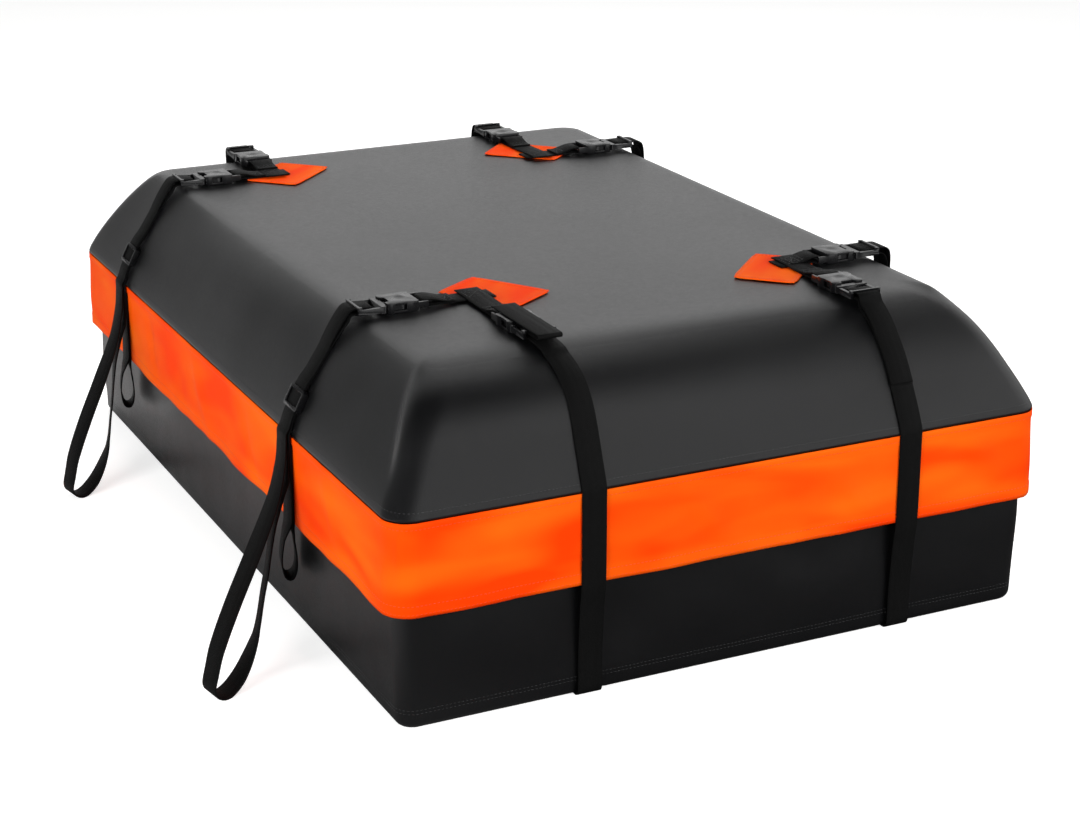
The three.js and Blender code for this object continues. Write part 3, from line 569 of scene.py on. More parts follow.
def skin(name, rows, maps, cap_last=False, cap_first=False, closed=False):
    """Quads between the rows, which closed joins to a tube, with caps on the ends asked for."""
    count = len(rows[0])
    vertices = np.concatenate(rows)
    uvs = np.concatenate(maps)
    faces = []
    for k in range(len(rows) - (0 if closed else 1)):
        a, b = k * count, (k + 1) % len(rows) * count
        for i in range(count):
            j = (i + 1) % count
            faces.append((a + i, a + j, b + j, b + i))
    if cap_last:
        faces.append(tuple((len(rows) - 1) * count + i for i in range(count)))
    if cap_first:
        faces.append(tuple(reversed(range(count))))
    return mesh_piece(name, vertices, faces, uvs)


def slope_share(angle):
    """How far in and how far up a lid slope has come, on a squared quarter of an ellipse."""
    power = 2 / 1.2
    return 1 - math.cos(angle) ** power, math.sin(angle) ** power


class BAG_OT_tub(bpy.types.Operator):
    """Lofts the tub's cloth with soft edges, billow and creases"""
    bl_idname = "bag.tub"
    bl_label = "Tub cloth"

    def execute(self, context):
        s = sizes()
        hx, hy, r = s.half_x, s.half_y, s.corner

        def offset(points, normals, z):
            free = strap_press(points, normals)
            x, y = points[:, 0], points[:, 1]
            belly = np.sin(np.clip(z / 0.2, 0, 1) * math.pi) * s.billow * 0.9 * free
            sag = wave(x, y, z * 1.6, 6.0, 3.1) * 0.0026
            crease = wave(x, y, z * 0.8, 19.0, 8.3) * 0.0009
            # The cloth lies calm along the zip, so that the sliders pass it
            calm = smooth((TUB_HIGH[2] - 0.004 - z) / 0.06)
            return belly * calm + (sag + crease) * smooth(z / 0.03) * calm

        edge = 0.011
        levels = [(hx - edge - k, hy - edge - k, max(r - edge - k + 0.001, 0.008), 0.0, 0, 0)
                  for k in (0.281, 0.141, 0.061, 0.021, 0.001)]
        for i in range(1, 9):
            angle = math.pi / 2 * i / 8
            inset = edge * (1 - math.sin(angle))
            levels.append((hx - inset, hy - inset, r - inset * 0.8, edge * (1 - math.cos(angle)),
                           math.sin(angle), 0))
        for i in range(1, 34):
            levels.append((hx, hy, r, edge + (TUB_RIM - edge) * i / 33, 1, 0))
        rows, maps = lofted(levels, offset)
        # The floor lies over the belly straps that run under it
        for row in rows:
            low = row[:, 2] < 0.004
            for a, b in (("fl", "bl"), ("fr", "br")):
                x0, x1 = CORNERS[a]["x"], CORNERS[b]["x"]
                middle = x0 + (x1 - x0) * (row[:, 1] + hy) / (2 * hy)
                press = np.exp(-((row[:, 0] - middle) / 0.024) ** 6)
                row[:, 2] = np.where(low, np.maximum(row[:, 2], 0.0027 * press), row[:, 2])
        tub = skin("tub_cloth", rows, maps, cap_first=True)
        apply_modifier(tub, "SOLIDIFY", thickness=CLOTH_THICK, offset=-1, use_rim=True)
        finish_piece(tub, cloth_dark(), "bag", "cloth", "tub")
        return {"FINISHED"}


class BAG_OT_lid(bpy.types.Operator):
    """Lofts the lid's cloth from its skirt over the slopes to the sagging top"""
    bl_idname = "bag.lid"
    bl_label = "Lid cloth"

    def execute(self, context):
        s = sizes()
        hx, hy, r = s.half_x, s.half_y, s.corner
        top, rim = s.plateau, s.rim + RIM_LIP
        out = s.flap_out
        rise, run = 0.141, 0.09
        length = math.hypot(rise, run)

        def offset(points, normals, z):
            free = strap_press(points, normals)
            x, y = points[:, 0], points[:, 1]
            up = np.clip((z - rim) / (top - rim), 0, 1)
            belly = np.sin(up * math.pi) * s.billow * (0.4 - np.abs(normals[:, 0])) * free
            sag = wave(x, y, z * 1.5, 5.0, 1.7) * 0.0018 * np.sin(up * math.pi) ** 0.6
            crease = wave(x, y, z * 0.5, 13.0, 5.9) * 0.0004 * np.sin(up * math.pi)
            # The top rolls over late at the front left, where its straps pull it outwards
            roll = np.sin(math.pi * up ** 1.8)
            front = smooth(-normals[:, 1]) * (0.35 + 0.65 * smooth((0.22 - x) / 0.5))
            left = smooth(-normals[:, 0]) * np.exp(-((y + 0.05) / 0.28) ** 2) * free
            return belly + sag + crease + roll * (0.021 * front + 0.006 * left)

        levels = [(hx, hy, r, LID_SKIRT + (s.rim - LID_SKIRT) * i / 7, 0, 0) for i in range(8)]
        levels += [(hx + 0.0095, hy + 0.0095, r + 0.0095, s.rim + 0.0004, 0, 0)]
        levels += [(hx + out - 0.001, hy + out - 0.001, r + out, s.rim + 0.0005, 0, 0)]
        steps = 30
        for i in range(steps + 1):
            inward, up = slope_share(math.pi / 2 * i / steps)
            levels.append((
                hx + out - (out + s.inset_x) * inward, hy + out - (out + s.inset_y) * inward,
                (r + out) + (PLATEAU_CORNER - r - out) * inward, rim + (top - rim) * up,
                rise / length, run / length))
        # The flat top shrinks to its middle in rings, and its edge is softly rounded
        edge_x, edge_y = hx - s.inset_x, hy - s.inset_y
        first_top = len(levels) - 1
        shares = [1 - 0.014 * i for i in range(1, 24)]
        shares += [0.62, 0.55, 0.47, 0.38, 0.29, 0.2, 0.1, 0.02]
        levels += [(edge_x * t, edge_y * t, PLATEAU_CORNER * t, top, 0, 0) for t in shares]
        tight, maps = lofted(softened(levels, 10, 0.009), offset)
        loose, _ = lofted(softened(levels, 10, 0.027), offset)
        points, normals = perimeter(hx, hy, r)
        give = np.maximum(smooth(-normals[:, 1]),
                          0.5 * smooth(-normals[:, 0]) * smooth((0.42 - points[:, 1]) / 0.2))
        rows = [a + (b - a) * give[:, None] for a, b in zip(tight, loose)]
        for row, flat in zip(rows[first_top:], maps[first_top:]):
            flat[:, 0], flat[:, 1] = row[:, 0] + 3.0, row[:, 1] + 3.0
        for ring, row in enumerate(rows[first_top:]):
            x, y = row[:, 0], row[:, 1]
            held = np.zeros(len(x))
            for c in CORNERS.values():
                along = np.clip(np.abs(x), abs(c["x"]) - 0.03, 1) * np.sign(c["sx"])
                near_side = np.hypot(x - along, y - c["y"]) / 0.07
                along = np.clip(np.abs(y), abs(c["y"]) - 0.03, 1) * np.sign(c["sy"])
                near_end = np.hypot(x - c["x"], y - along) / 0.07
                reach = np.minimum(near_side, near_end)
                held = np.maximum(held, np.exp(-reach ** 2))
            sag = 0.0014 * (1 - held) * (0.55 + 0.45 * wave(x, y, x * 0, 4.0, 2.2))
            ripple = wave(x, y, x * 0, 9.0, 7.7) * 0.0004 * (1 - held)
            row[:, 2] += (ripple - sag) * smooth(ring / 12)
        lid = skin("lid_cloth", rows, maps, cap_last=True)
        apply_modifier(lid, "SOLIDIFY", thickness=CLOTH_THICK, offset=-1, use_rim=True)
        finish_piece(lid, cloth_dark(), "bag", "cloth", "lid")
        return {"FINISHED"}


# Folds of the flap: the side that they are on, both ends along it and up, width and depth
FOLD_GAIN = 1.35
FLAP_FOLDS = [
    ((0, -1), -0.090, 0.235, -0.030, 0.165, 0.009, -0.0035),
    ((0, -1), -0.066, 0.238, -0.004, 0.160, 0.011, 0.0030),
    ((0, -1), 0.090, 0.252, 0.150, 0.190, 0.010, -0.0030),
    ((0, -1), 0.125, 0.225, 0.200, 0.165, 0.012, 0.0030),
    ((0, -1), -0.330, 0.240, -0.290, 0.160, 0.013, -0.0022),
    ((0, -1), 0.330, 0.246, 0.395, 0.170, 0.012, 0.0024),
    ((-1, 0), 0.300, 0.244, 0.250, 0.165, 0.013, -0.0028),
    ((-1, 0), 0.080, 0.246, 0.020, 0.160, 0.014, 0.0026),
    ((-1, 0), -0.120, 0.240, -0.170, 0.165, 0.012, -0.0024),
    ((-1, 0), -0.420, 0.246, -0.470, 0.170, 0.013, 0.0024),
    ((1, 0), 0.200, 0.246, 0.140, 0.165, 0.013, -0.0026),
    ((1, 0), -0.160, 0.244, -0.100, 0.165, 0.013, 0.0026),
    ((0, 1), 0.060, 0.246, 0.000, 0.165, 0.013, -0.0028),
    ((0, 1), -0.330, 0.244, -0.280, 0.165, 0.013, 0.0024),
]


class BAG_OT_rain_flap(bpy.types.Operator):
    """Makes the orange rain flap with its hems and soft diagonal creases"""
    bl_idname = "bag.rain_flap"
    bl_label = "Rain flap"

    def execute(self, context):
        s = sizes()
        hx, hy, r = s.half_x, s.half_y, s.corner
        low, high = s.flap_low, s.rim
        out = s.flap_out - 0.0012

        def offset(points, normals, z):
            free = strap_press(points, normals)
            x, y = points[:, 0], points[:, 1]
            down = (high - z) / (high - low)
            along = np.where(np.abs(normals[:, 1]) > 0.7, x, y)
            slanted = np.array([
                noise.noise(Vector(((a + 0.55 * c) * 9.0 + n * 3, (c - 0.4 * a) * 3.2, 4.0 + n)))
                for a, c, n in zip(along, z, np.sign(normals[:, 0] + 0.3 * normals[:, 1]))
            ])
            creases = np.array([
                noise.noise(Vector(((a - 0.8 * c) * 21.0 - n * 2, (c + 0.6 * a) * 6.0, 9.0 + n)))
                for a, c, n in zip(along, z, np.sign(normals[:, 1] + 0.3 * normals[:, 0]))
            ])
            amount = smooth(down * 1.4)
            folds = np.zeros(len(x))
            for side, a, b, c, d, width, depth in FLAP_FOLDS:
                px, pz, qx, qz = along - a, z - b, c - a, d - b
                t = np.clip((px * qx + pz * qz) / (qx * qx + qz * qz), 0, 1)
                far = np.hypot(px - t * qx, pz - t * qz)
                fold = np.exp(-(far / width) ** 2) * np.sin(math.pi * (0.15 + 0.7 * t))
                folds += FOLD_GAIN * depth * facing(normals, side) * fold
            total = ((slanted * 0.0045 + creases * 0.0016) * amount * (0.3 + 0.7 * free)
                     + 0.0015 * amount * free + folds)
            # The zip's sliders and pulls need their space behind the front
            return np.where(normals[:, 1] < -0.7, np.maximum(total, total * 0.1), total)

        levels = []
        steps = 26
        for i in range(steps + 1):
            t = i / steps
            z = low + (high - low) * t
            hem = 0.0007 if (z < low + 0.0165 or z > high - 0.010) else 0.0
            levels.append((hx + out + hem, hy + out + hem, r + out, z, 1, 0))
        rows, maps = lofted(levels, offset)
        flap = skin("rain_flap_cloth", rows, maps)
        apply_modifier(flap, "SOLIDIFY", thickness=FLAP_THICK, offset=0, use_rim=True)
        finish_piece(flap, cloth_orange(), "bag", "orange", "rain_flap")
        return {"FINISHED"}


# Webbing

GAP = 0.0003
SOLE = 0.0004
BAR_RADIUS = 0.0022
SOCKET_LENGTH = 0.040
SOCKET_BAR = 0.012
BUCKLE_WALL = 0.003
PLUG_BAR = 0.0195
PLUG_TAIL = 0.0385
BUCKLE_REACH = SOCKET_LENGTH + PLUG_TAIL
BRIDGE_THICK = 0.002
PLUG_TRAVEL = 0.006
FOLD_REACH = 0.026
BUCKLE_THICK = 0.013
GLIDE_LENGTH = 0.028
GLIDE_RISE = 0.043
GLIDE_PLATE = 0.0018
LEG_BACK = 0.034
LEG_STAND = 0.0012
LEG_OVER = 0.0019
LOOP_TURN = math.radians(21)
OUTER_TWIST = math.radians(10)
INNER_TWIST = math.radians(-15)
PULL_LOOP_TWIST = 0.25


class Section:
    """The lid's outline in a section through the middle of a side."""

    def __init__(self, half, inset):
        s = sizes()
        out, rim, top = s.flap_out, s.rim + RIM_LIP, s.plateau
        self.edge = half - inset
        points = []
        for i in range(49):
            inward, up = slope_share((1 - i / 48) * math.pi / 2)
            points.append((half + out - (out + inset) * inward, rim + (top - rim) * up))
        points.append((half + out, s.flap_low))
        self.points = np.array(points)
        self.run = run_along(self.points)
        self.rim = self.run[48]
        self.top = top
        self.lifts = np.zeros(49)

    def locate(self, s):
        """The outline's point at a run from the flat top's edge."""
        return np.array([np.interp(s, self.run, self.points[:, k]) for k in (0, 1)])

    def frame(self, s):
        """The point at a run and the way down the outline there."""
        if s <= 0:
            return np.array([self.edge + s, self.top]), np.array([1.0, 0.0])
        if s > self.rim + 0.004:
            return self.locate(s), np.array([0.0, -1.0])
        step = self.locate(min(s + 0.004, self.run[-1])) - self.locate(max(s - 0.004, 0))
        return self.locate(s), step / np.linalg.norm(step)

    def settle(self, tree, place):
        """Take over how far the finished cloth stands off the plain outline."""
        for i in range(4, 48):
            point, tangent = self.frame(self.run[i])
            normal = Vector(place(-tangent[1], tangent[0])) - Vector(place(0, 0))
            start = Vector(place(*point)) + normal * 0.04
            hit, _, _, far = tree.ray_cast(start, -normal, 0.08)
            if hit is not None:
                self.lifts[i] = 0.04 - far
        self.lifts = np.convolve(np.pad(self.lifts, 3, mode="edge"), np.full(7, 1 / 7), "valid")
        self.lifts[0] = self.lifts[48] = 0

    def at(self, s, height):
        """The point that stands so high off the cloth at a run."""
        point, tangent = self.frame(s)
        height += np.interp(s, self.run[:49], self.lifts, right=0)
        return [point[0] - tangent[1] * height, point[1] + tangent[0] * height]

    def follow(self, start, end, h0, h1, count):
        return [self.at(start + (end - start) * i / count, h0 + (h1 - h0) * i / count)
                for i in range(count + 1)]

    def at_height(self, z):
        s = 0.0
        while self.locate(s)[1] > z:
            s += 0.001
        return s


def hermite_shares(t):
    """Shares of the first point, its direction, the last point and its direction."""
    return (2 * t ** 3 - 3 * t ** 2 + 1, t ** 3 - 2 * t ** 2 + t,
            -2 * t ** 3 + 3 * t ** 2, t ** 3 - t ** 2)


def hermite(p0, d0, p1, d1, count):
    """The points between two ends of a smooth curve with the given directions there."""
    reach = math.dist(p0, p1)
    out = []
    for i in range(1, count):
        a, b, c, d = hermite_shares(i / count)
        out.append([a * p0[k] + b * reach * d0[k] + c * p1[k] + d * reach * d1[k]
                    for k in (0, 1)])
    return out


def arc(cx, cz, radius, start, sweep, count):
    return [[cx + radius * math.cos(start + sweep * i / count),
             cz + radius * math.sin(start + sweep * i / count)] for i in range(count + 1)]


def strap_sizes():
    """The first ply's height, the step from ply to ply, a bar turn's radius and buckle soles."""
    s = sizes()
    ply = 2 * GAP + s.web_thick / 2
    pitch = s.web_thick + GAP
    bar_turn = BAR_RADIUS + SOLE + s.web_thick / 2
    base = s.plateau + SOLE
    return ply, pitch, bar_turn, base


def resample(points, hints, step):
    """Points at even steps on a smooth curve through the given ones, with their width hints."""
    p = np.array(points, float)
    h = np.array(hints, float)
    keep = [0] + [i for i in range(1, len(p)) if np.linalg.norm(p[i] - p[i - 1]) > 1e-5]
    p, h = p[keep], h[keep]
    out_p, out_h = [], []
    for i in range(len(p) - 1):
        p0, p1, p2, p3 = p[max(i - 1, 0)], p[i], p[i + 1], p[min(i + 2, len(p) - 1)]
        d = np.linalg.norm(p2 - p1)
        d0, d2 = np.linalg.norm(p1 - p0) or d, np.linalg.norm(p3 - p2) or d
        m1 = (p2 - p0) / (d + d0) * d if i > 0 else (p2 - p1)
        m2 = (p3 - p1) / (d + d2) * d if i < len(p) - 2 else (p2 - p1)
        count = max(1, int(round(d / step)))
        for k in range(count):
            a, b, c, e = hermite_shares(k / count)
            out_p.append(a * p1 + b * m1 + c * p2 + e * m2)
            out_h.append(h[i] + (h[i + 1] - h[i]) * k / count)
    out_p.append(p[-1])
    out_h.append(h[-1])
    return np.array(out_p), np.array(out_h)


def unit(rows):
    return rows / np.linalg.norm(rows, axis=1)[:, None]


def webbing_mesh(points, hints):
    """A strap with rounded edges swept along the points. Returns vertices, faces and map."""
    s = sizes()
    p, h = resample(points, hints, 0.004)
    half, thick, round_off = s.web_width / 2, s.web_thick / 2, 0.0004
    flat, edge = half - round_off, thick * 0.35
    section = [(-flat, -thick), (0, -thick), (flat, -thick), (half, -edge), (half, edge),
               (flat, thick), (0, thick), (-flat, thick), (-half, edge), (-half, -edge)]
    steps = unit(np.diff(p, axis=0))
    tangent = unit(np.vstack([steps[:1], steps]) + np.vstack([steps, steps[-1:]]))
    across = unit(h - (h * tangent).sum(1)[:, None] * tangent)
    normal = np.cross(tangent, across)
    run = run_along(p)
    n = len(section)
    vertices, uvs, faces = [], [], []
    around = [0.0]
    for (a, b), (c, d) in zip(section, section[1:] + section[:1]):
        around.append(around[-1] + math.hypot(c - a, d - b))
    for i in range(len(p)):
        for k, (w, t) in enumerate(section):
            vertices.append(p[i] + across[i] * w + normal[i] * t)
            uvs.append((around[k], run[i]))
    for i in range(len(p) - 1):
        for k in range(n):
            a, b = i * n + k, i * n + (k + 1) % n
            faces.append((a, b, b + n, a + n))
    faces.append(tuple(reversed(range(n))))
    faces.append(tuple((len(p) - 1) * n + k for k in range(n)))
    return vertices, faces, uvs


def plug_plies(sec, origin, meet):
    """The lower and upper ply from a plug down to the slope, and the turn round its bar."""
    ply, pitch, bar_turn, base = strap_sizes()
    bar_x, bar_z = origin + SOCKET_LENGTH + PLUG_BAR, base + BUCKLE_THICK / 2
    out = origin + BUCKLE_REACH + PLUG_TRAVEL + 0.0005

    def make(level, height):
        z = bar_z + level * bar_turn
        if out < sec.edge + 0.010:
            return [[out, z]] + sec.follow(max(out - sec.edge, 0) + 0.004, meet,
                                           z - sec.top, height, 6)
        begin = [out + (3 * pitch if level > 0 else 0), z]
        end = sec.at(meet, height)
        _, tangent = sec.frame(meet)
        return [begin] + hermite(begin, [1, 0], end, list(tangent), 5) + [end]

    return (make(-1, ply), make(1, ply + pitch),
            arc(bar_x, bar_z, bar_turn, -math.pi / 2, -math.pi, 8))


def side_strap_path(key):
    """Points and width directions from the small loop up to the plug and back to the big one."""
    s = sizes()
    c = CORNERS[key]
    ply, pitch, _, _ = strap_sizes()
    sec = Section(s.half_x, s.inset_x)
    origin = c["side_end"] - BUCKLE_REACH
    glide = sec.at_height(s.rim + GLIDE_RISE)
    point, tangent = sec.frame(glide)
    normal = [-tangent[1], tangent[0]]
    straight = GLIDE_LENGTH / 2 + 0.007
    ease = straight + 0.016
    low = SOLE + GLIDE_PLATE + GAP + s.web_thick / 2
    lower, upper, loop = plug_plies(sec, origin, 0.052)

    def slope_ply(height, glide_height, band_height):
        def inside(t):
            return [point[k] + tangent[k] * t + normal[k] * glide_height for k in (0, 1)]
        return ([sec.at(glide - ease, height), inside(-straight), inside(straight),
                 sec.at(glide + ease, (height + band_height) / 2)]
                + sec.follow(sec.rim - 0.001, sec.rim + 0.009, band_height, band_height, 4))

    def wall(offset, z):
        return [s.half_x + offset * MM, z * MM]

    out_mm = s.flap_out / MM
    hem = s.flap_low / MM
    small = [wall(out_mm + ply / MM, s.rim / MM - 9), wall(out_mm + ply / MM, hem - 2),
             wall(11, hem - 22), wall(8.5, hem - 44), wall(9, hem - 60), wall(12, hem - 69),
             wall(17.5, hem - 73), wall(23.5, hem - 70), wall(27, hem - 60),
             wall(28, hem - 44), wall(24, hem - 20),
             wall(out_mm + (ply + pitch) / MM, hem + 4)]
    inner = slope_ply(ply, low, ply + pitch)
    outer = slope_ply(ply + pitch, low + pitch, ply + 3 * pitch)
    flat = small + inner[::-1] + lower[::-1] + loop + upper + outer
    points = [[c["sx"] * d, c["y"], z] for d, z in flat]
    last = len(small) - 1
    hints = [[-c["sx"] * PULL_LOOP_TWIST if 1 < i < last else 0, 1, 0]
             for i in range(len(points))]
    # The big loop: share of the way out, opening in millimetres and height in rims
    hanging = c["foot"][1] == 0
    if hanging:
        out = [(0.03, 0, 0.863), (0.14, 0, 0.725), (0.36, 0, 0.542), (0.66, 0, 0.355),
               (0.88, 0, 0.214), (1, 0, 0.115), (0.96, 0, 0.053)]
        back = [(0.82, 0, 0.027), (0.66, 0, 0.046), (0.54, 0, 0.122), (0.42, 0, 0.275),
                (0.28, 0, 0.458), (0.14, 0, 0.611), (0.04, 0, 0.733), (0, 0, 0.817)]
    else:
        out = [(0.03, 0, 0.87), (0.14, 0, 0.725), (0.4, 0, 0.542), (0.7, 0, 0.355),
               (0.89, 0, 0.214), (0.97, 0, 0.115), (1, 0, 0.061), (1, 3, 0.03)]
        back = [(1, 10, 0.008), (1, 22, 0.008), (0.985, 37, 0.045), (0.95, 49, 0.115),
                (0.86, 54, 0.22), (0.67, 42, 0.355), (0.46, 25, 0.46), (0.25, 9, 0.6),
                (0.1, 2, 0.72), (0.015, 0, 0.794)]
    turned = 0 if hanging else LOOP_TURN
    start = s.flap_out + ply + 3 * pitch

    def push(share, opening, height, offset, twist):
        points.append([
            c["sx"] * (s.half_x + offset - math.cos(turned) * opening * MM)
            + c["foot"][0] * share,
            c["y"] + c["foot"][1] * share + math.sin(turned) * opening * MM, height * s.rim])
        angle = 0 if hanging else twist
        hints.append([c["sx"] * math.sin(angle), math.cos(angle), 0])

    for share, opening, height in out:
        push(share, opening, height, start, OUTER_TWIST * float(smooth(share / 0.5)))
    for share, opening, height in back:
        inward = float(smooth((height - 0.02) / 0.23))
        twist = (1 - inward) * OUTER_TWIST + inward * INNER_TWIST
        push(share, opening, height, start - pitch,
             twist * (1 - float(smooth((height - 0.5) / 0.294))))
    push(0, 0, 1 - 14 * MM / s.rim, start - pitch, 0)
    return points, hints


def belly_strap_path(front_key, back_key):
    """Points and width directions from the front plug under the bag to the back plug."""
    s = sizes()
    ply, pitch, bar_turn, base = strap_sizes()
    lid = surface_of("lid_cloth")

    def half(key):
        c = CORNERS[key]
        sec = Section(s.half_y, s.inset_y)
        sec.settle(lid, lambda d, z: (c["x"], c["sy"] * d, z))
        origin = c["end_end"] - BUCKLE_REACH
        meet = max(0.058, origin + BUCKLE_REACH + PLUG_TRAVEL + 0.0385 - sec.edge)
        lower, upper, loop = plug_plies(sec, origin, meet)
        bar_z = base + BUCKLE_THICK / 2
        if key == FOLDED_TAIL:
            bridge = BUCKLE_THICK / 2 + bar_turn + s.web_thick / 2 + SOLE + BRIDGE_THICK
            over = base + max(BUCKLE_THICK, bridge) + SOLE + s.web_thick / 2
            rise = (over - bar_z - bar_turn) / 2
            fold = origin + BUCKLE_REACH + FOLD_REACH
            tail = ([[origin - 0.024, over], [origin + SOCKET_LENGTH, over], [fold, over]]
                    + arc(fold, over - rise, rise, math.pi / 2, -math.pi, 6)[1:])
        else:
            tail = (upper + sec.follow(meet + 0.010, meet + 0.062, ply + pitch,
                                       ply + pitch, 3))[::-1]
        edge = s.half_y - 0.0024
        turn = 0.0092
        down = (sec.follow(meet + 0.016, sec.rim - 0.010, ply, ply, 5)
                + sec.follow(sec.rim - 0.004, sec.rim + 0.009, ply, ply, 3)
                + [[s.half_y + s.flap_out + ply, s.flap_low - 0.002],
                   [s.half_y + s.flap_out - 0.002, s.flap_low - 0.032],
                   [s.half_y + 0.007, 0.060], [edge + turn, 0.024]]
                + arc(edge, GAP + s.web_thick / 2 + turn, turn, 0, -math.pi / 2, 5))
        flat = tail + loop[::-1] + lower + down
        return [[c["x"], c["sy"] * d, z] for d, z in flat]

    front, back = half(front_key), half(back_key)[::-1]
    points = front + back
    x0, x1 = CORNERS[front_key]["x"], CORNERS[back_key]["x"]
    skew = Vector((2 * s.half_y, -(x1 - x0), 0)).normalized()
    hints = [[1, 0, 0]] * len(points)
    for i in (len(front) - 1, len(front)):
        hints[i] = list(skew)
    return points, hints


def leg_path(start, origin):
    """A leg from its patch round the socket's bar and back on to itself."""
    ply, pitch, bar_turn, base = strap_sizes()
    under = sizes().plateau + LEG_STAND + GAP + ply
    bar_x, bar_z = origin - SOCKET_BAR, base + BUCKLE_THICK / 2
    low = bar_z - bar_turn
    back = bar_x - LEG_BACK
    return ([[start, under], [start + 0.022, under], [back, under], [bar_x - 0.009, low]]
            + arc(bar_x, bar_z, bar_turn, -math.pi / 2, math.pi, 8)
            + [[bar_x - 0.009, bar_z + bar_turn], [back + 0.004, under + pitch],
               [back - 0.007, under + pitch]])


class BAG_OT_webbing(bpy.types.Operator):
    """Sweeps the anchor legs, side straps and belly straps as woven webbing"""
    bl_idname = "bag.webbing"
    bl_label = "Webbing"

    def execute(self, context):
        s = sizes()

        def strap(name, parts, replaced):
            finish_piece(mesh_piece(name, *parts), webbing_cloth(), "bag", "webbing", replaced)

        for key, c in CORNERS.items():
            strap(f"side_webbing_{key}", webbing_mesh(*side_strap_path(key)), f"side_strap_{key}")
            reach = s.web_width / 2 + 0.008
            side = [[c["sx"] * d, c["y"], z] for d, z in
                    leg_path(c["sx"] * c["x"] - reach, c["side_end"] - BUCKLE_REACH)]
            end = [[c["x"], c["sy"] * d, z] for d, z in
                   leg_path(c["sy"] * c["y"] - reach, c["end_end"] - BUCKLE_REACH)]
            # The end leg starts on top of the side leg and comes down beside it
            for p in end:
                away = c["sy"] * (p[1] - c["y"])
                if away < s.web_width / 2 + 0.012 and p[2] < s.plateau + 0.006:
                    p[2] += LEG_OVER
            vertices, faces, uvs = webbing_mesh(side, [[0, 1, 0]] * len(side))
            v, f, u = webbing_mesh(end, [[1, 0, 0]] * len(end))
            faces += [tuple(i + len(vertices) for i in face) for face in f]
            strap(f"anchor_webbing_{key}", (vertices + v, faces, uvs + u), f"anchor_{key}")
        for name, front, back in (("left", "fl", "bl"), ("right", "fr", "br")):
            strap(f"belly_webbing_{name}", webbing_mesh(*belly_strap_path(front, back)),
                  f"belly_strap_{name}")
        return {"FINISHED"}


def patch_matrix(key):
    c = CORNERS[key]
    turn = -c["sx"] * c["sy"] * math.radians(PATCH_TURNS.get(key, PATCH_TURN))
    return (Matrix.Translation((c["x"] + c["patch"][0], c["y"] + c["patch"][1], 0))
            @ Matrix.Rotation(turn, 4, "Z"))


class BAG_OT_patches(bpy.types.Operator):
    """Cuts the four orange lid patches with folded hems and rounded corners"""
    bl_idname = "bag.patches"
    bl_label = "Lid patches"

    def execute(self, context):
        top = sizes().plateau + 0.0009
        half_x, half_y = PATCH_HALF
        for key in CORNERS:
            drop_selection()
            bpy.ops.mesh.primitive_grid_add(x_subdivisions=28, y_subdivisions=20, size=1)
            patch = context.active_object
            patch.name = f"lid_patch_{key}"
            mesh = patch.data
            for vertex in mesh.vertices:
                u, v = vertex.co.x * 2, vertex.co.y * 2
                corner = smooth((abs(u) + abs(v) - 1.7) / 0.3)
                hem = 0.0004 if max(abs(u), abs(v)) > 0.84 else 0.0
                vertex.co = (u * half_x * (1 - 0.035 * corner), v * half_y * (1 - 0.05 * corner),
                             top + hem)
            mesh.transform(patch_matrix(key))
            layer = mesh.uv_layers.active or mesh.uv_layers.new(name="UVMap")
            layer.name = "UVMap"
            for loop in mesh.loops:
                co = mesh.vertices[loop.vertex_index].co
                layer.data[loop.index].uv = (co.x + co.y, co.y - co.x)
            mesh.polygons.foreach_set("use_smooth", [True] * len(mesh.polygons))
            apply_modifier(patch, "SOLIDIFY", thickness=0.0008, offset=0)
            finish_piece(patch, cloth_orange(), "bag", "orange", f"patch_{key}")
        return {"FINISHED"}


# Hardware


def rounded(obj, width):
    """Softens the sharp edges as far as the shortest ones let it."""
    apply_modifier(obj, "BEVEL", width=width, segments=2, limit_method="ANGLE",
                   angle_limit=math.radians(40), use_clamp_overlap=True)
    only(obj)
    bpy.ops.object.shade_smooth_by_angle(angle=math.radians(35))
    return obj


def slot_and_half():
    """Half of a slot's width and half of the whole width of a buckle or tri-glide."""
    slot = sizes().web_width / 2 + 0.0015
    return slot, slot + 0.0045


def mirrored(outline):
    """The outline with its mirror image in the middle line, as one ring."""
    return outline + [(x, -y) for x, y in reversed(outline)]


